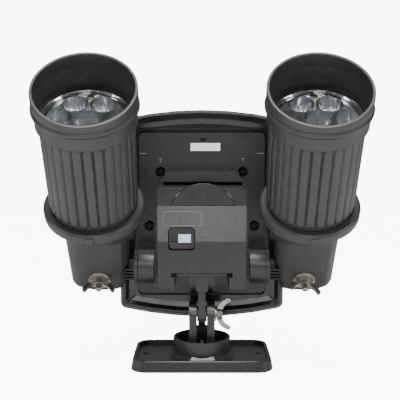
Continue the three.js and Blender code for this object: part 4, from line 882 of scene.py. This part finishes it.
class FLOODLIGHT_OT_marks(bpy.types.Operator):
    """Raise the fine moulded lines on the lid and the cover"""

    bl_idname = "floodlight.marks"
    bl_label = "Moulded marks"

    def execute(self, context):
        sizes = context.scene.mark_sizes
        dash_degrees = (40, 138)
        slot_degrees = (21, 157)
        window_proud = 0.3 * MM
        lower_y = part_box("battery_lid")[0].y
        upper_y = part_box("sensor_window")[0].y + window_proud
        cover_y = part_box("info_label")[1].y + PLAY

        def along_arc(degrees, long, wide, proud):
            turn = math.radians(degrees)
            x = sizes.arc_x + sizes.arc_radius * math.cos(turn)
            z = sizes.arc_z + sizes.arc_radius * math.sin(turn)
            return ridge((x, z), turn + math.pi / 2, long, wide, upper_y, proud)

        def line(x, z, turn, long, base):
            return ridge((x, z), turn, long, sizes.line_wide, base, sizes.line_proud)

        dash = (sizes.dash_long, sizes.dash_wide, sizes.dash_proud)
        dashes = [along_arc(degrees, *dash) for degrees in dash_degrees]
        dashes.append(legend_frame(sizes, upper_y, lower_y))
        # The dashes and the legend frame take the lighter tone: painted highlight on their raised
        # edges.
        lid = make_piece("lid_marks", dashes, "lid", "housing_plastic", "scuffed")
        smooth_by_angle(lid)
        # Near-black dashes on the arc: painted shadow along the boss's edge.
        slot = (sizes.slot_long, sizes.slot_wide, sizes.slot_proud)
        slots = [along_arc(degrees, *slot) for degrees in slot_degrees]
        make_piece("lid_painted_shadows", slots, "lid", "housing_plastic", "deep_slot")
        lines = []
        for side in SIDES.values():
            border_y = cover_y + sizes.border_step
            lines.append(line(side * sizes.tick_x, sizes.tick_z, 0, sizes.tick_long, border_y))
            x = side * sizes.screw_x
            stem_z = sizes.screw_z + sizes.stem_above
            cap_z = sizes.screw_z + sizes.cap_above
            lines.append(line(x, stem_z, math.pi / 2, sizes.stem_long, cover_y))
            lines.append(line(x, cap_z, 0, sizes.cap_long, cover_y))
        # The lines on the cover take the same lighter tone: painted highlight.
        cover = make_piece("cover_marks", lines, "head", "housing_plastic", "scuffed")
        smooth_by_angle(cover)
        return {"FINISHED"}


# ---------------------------------------------------------------- carried-over parts
# The rounding of the edges of each finish, and the parts whose slightest steps are edges.
BEVELLED = {
    "housing_plastic": 0.35 * MM,
    "lamp_plastic": 0.35 * MM,
    "tray_plastic": 0.25 * MM,
    "bezel_plastic": 0.3 * MM,
    "nickel_steel": 0.2 * MM,
    "black_steel": 0.15 * MM,
    "knob_blue": 0.15 * MM,
    "white_label": 0.05 * MM,
}
CRISP = ("battery_lid", "rear_tray", "tilt_bracket")
MERGED_WITHIN = 0.005 * MM
CRISP_ANGLE = math.radians(13)
ROUND_ANGLE = math.radians(32)


class FLOODLIGHT_OT_finishes(bpy.types.Operator):
    """Round the edges of the other parts and give each its finish"""

    bl_idname = "floodlight.finishes"
    bl_label = "Finishes"

    def execute(self, context):
        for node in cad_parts.values():
            slot_name = node.data.materials[0].name.split(".")[0]
            node.material_slots[0].material = MATERIALS[slot_name]
            if slot_name in BEVELLED and not node.hide_render:
                least = CRISP_ANGLE if node.name in CRISP else ROUND_ANGLE
                round_edges(node, BEVELLED[slot_name], least)
        return {"FINISHED"}


def round_edges(node, width, least):
    """Joins the loose triangles, rounds every edge over the least angle and shades the rest by
    the area of its faces, so that flats stay flat and round walls turn smooth."""
    node.data.polygons.foreach_set("use_smooth", np.ones(len(node.data.polygons), bool))
    weld = node.modifiers.new("weld", "WELD")
    weld.merge_threshold = MERGED_WITHIN
    bevel = node.modifiers.new("bevel", "BEVEL")
    bevel.width = width
    bevel.segments = 2
    bevel.limit_method = "ANGLE"
    bevel.angle_limit = least
    normals = node.modifiers.new("normals", "WEIGHTED_NORMAL")
    normals.weight = 100


# ---------------------------------------------------------------- stage
WHITE = (1.0, 1.0, 1.0, 1.0)
BACKDROP_GLOW = 16
GLOW_SHARE = 0.6
WORLD_LIGHT = 0.28
LIT_POINT = (0, 0, 0.11)
# Each light's place and size in metres, and its power in watts.
LIGHTS = {
    "top_light": ((0.0, -0.45, 1.1), 0.6, 20),
    "front_light": ((0.0, -1.3, 0.74), 0.45, 5),
    "left_light": ((-1.1, -0.6, 0.4), 0.5, 4),
    "right_light": ((1.1, -0.6, 0.45), 0.5, 5),
}


def stage_material(name, hex_colour):
    """Matt painted board with a glow that only the camera sees: the object gets the light of
    the bare board."""
    finish = {"Base Color": rgba(linear(hex_colour)), "Roughness": 0.9}
    material, tree, shader, place = new_material(name, finish)
    bump(tree, shader, noise(tree, place, 8 * MM), 0.02 * MM)
    glow = add(tree, "ShaderNodeEmission", {"Strength": BACKDROP_GLOW})
    seen = add(tree, "ShaderNodeLightPath").outputs["Is Camera Ray"]
    share = calculate(tree, "MULTIPLY", seen, GLOW_SHARE)
    mix_shaders(tree, share, shader.outputs[0], glow.outputs[0], "Material Output")
    return material


def make_floor():
    """A wide flat floor: a disc, x = r cos a, y = r sin a, just under the object."""
    reach = 12.0
    corners = 64
    below = 0.05 * MM
    around = np.arange(corners) * 2 * np.pi / corners
    level = np.full(corners, -below)
    rim = np.stack([reach * np.cos(around), reach * np.sin(around), level], 1)
    mesh = bpy.data.meshes.new("stage_floor")
    mesh.from_pydata(rim.tolist(), [], [list(range(corners))])
    mesh.materials.append(stage_material("stage_board", "#f4f4f4"))
    floor = bpy.data.objects.new("stage_floor", mesh)
    bpy.context.scene.collection.objects.link(floor)


def add_light(name, place, size, power):
    """A square soft light at a place, turned to the lit point."""
    lamp = bpy.data.lights.new(name, "AREA")
    lamp.shape = "SQUARE"
    lamp.size = size
    lamp.energy = power
    holder = bpy.data.objects.new(name, lamp)
    holder.location = place
    way = Vector(LIT_POINT) - Vector(place)
    holder.rotation_mode = "QUATERNION"
    holder.rotation_quaternion = way.to_track_quat("-Z", "Y")
    bpy.context.scene.collection.objects.link(holder)


def make_world():
    """Even white light all round. Seen directly it is as bright as the floor."""
    world = bpy.data.worlds.new("world")
    world.use_nodes = True
    tree = world.node_tree
    soft = tree.nodes["Background"]
    soft.inputs["Color"].default_value = WHITE
    soft.inputs["Strength"].default_value = WORLD_LIGHT
    glow = {"Color": WHITE, "Strength": BACKDROP_GLOW * GLOW_SHARE}
    bright = add(tree, "ShaderNodeBackground", glow)
    seen = add(tree, "ShaderNodeLightPath").outputs["Is Camera Ray"]
    mix_shaders(tree, seen, soft.outputs[0], bright.outputs[0], "World Output")
    bpy.context.scene.world = world


def make_camera(sizes):
    camera = bpy.data.cameras.new("camera")
    camera.lens = sizes.lens
    camera.dof.use_dof = False
    camera.clip_start = 0.01
    holder = bpy.data.objects.new("camera", camera)
    holder.location = (sizes.aside, -sizes.distance, sizes.height)
    holder.rotation_euler = (math.pi / 2 - sizes.pitch, 0, 0)
    bpy.context.scene.collection.objects.link(holder)
    bpy.context.scene.camera = holder


class FLOODLIGHT_OT_stage(bpy.types.Operator):
    """Set up the floor, the soft lights and the camera"""

    bl_idname = "floodlight.stage"
    bl_label = "Stage"

    def execute(self, context):
        make_floor()
        for name, (place, size, power) in LIGHTS.items():
            add_light(name, place, size, power)
        make_world()
        make_camera(context.scene.stage_sizes)
        return {"FINISHED"}


class FLOODLIGHT_PT_panel(bpy.types.Panel):
    """The floodlight's pieces"""

    bl_label = "Floodlight"
    bl_idname = "FLOODLIGHT_PT_panel"
    bl_space_type = "VIEW_3D"
    bl_region_type = "UI"
    bl_category = "Floodlight"

    def draw(self, context):
        for operator in OPERATORS:
            self.layout.operator(operator.bl_idname)
        for group in GROUPS:
            box = self.layout.box()
            values = getattr(context.scene, group)
            for name in values.bl_rna.properties.keys():
                if name not in ("rna_type", "name"):
                    box.prop(values, name)


OPERATORS = (
    FLOODLIGHT_OT_barrels,
    FLOODLIGHT_OT_hoods,
    FLOODLIGHT_OT_lenses,
    FLOODLIGHT_OT_reflectors,
    FLOODLIGHT_OT_marks,
    FLOODLIGHT_OT_finishes,
    FLOODLIGHT_OT_stage,
)
GROUPS = {
    "lamp_sizes": LampSizes,
    "mark_sizes": MarkSizes,
    "finish_colours": FinishColours,
    "stage_sizes": StageSizes,
}


def register():
    for group in (*GROUPS.values(), *OPERATORS, FLOODLIGHT_PT_panel):
        bpy.utils.register_class(group)
    for name, group in GROUPS.items():
        setattr(bpy.types.Scene, name, bpy.props.PointerProperty(type=group))


def unregister():
    for name in GROUPS:
        delattr(bpy.types.Scene, name)
    for group in (FLOODLIGHT_PT_panel, *OPERATORS, *GROUPS.values()):
        bpy.utils.unregister_class(group)


def main():
    """Builds everything."""
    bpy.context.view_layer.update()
    register()
    MATERIALS.update(make_materials(bpy.context.scene.finish_colours))
    for operator in OPERATORS:
        getattr(bpy.ops.floodlight, operator.bl_idname.split(".")[1])()


if __name__ == "__main__":
    main()
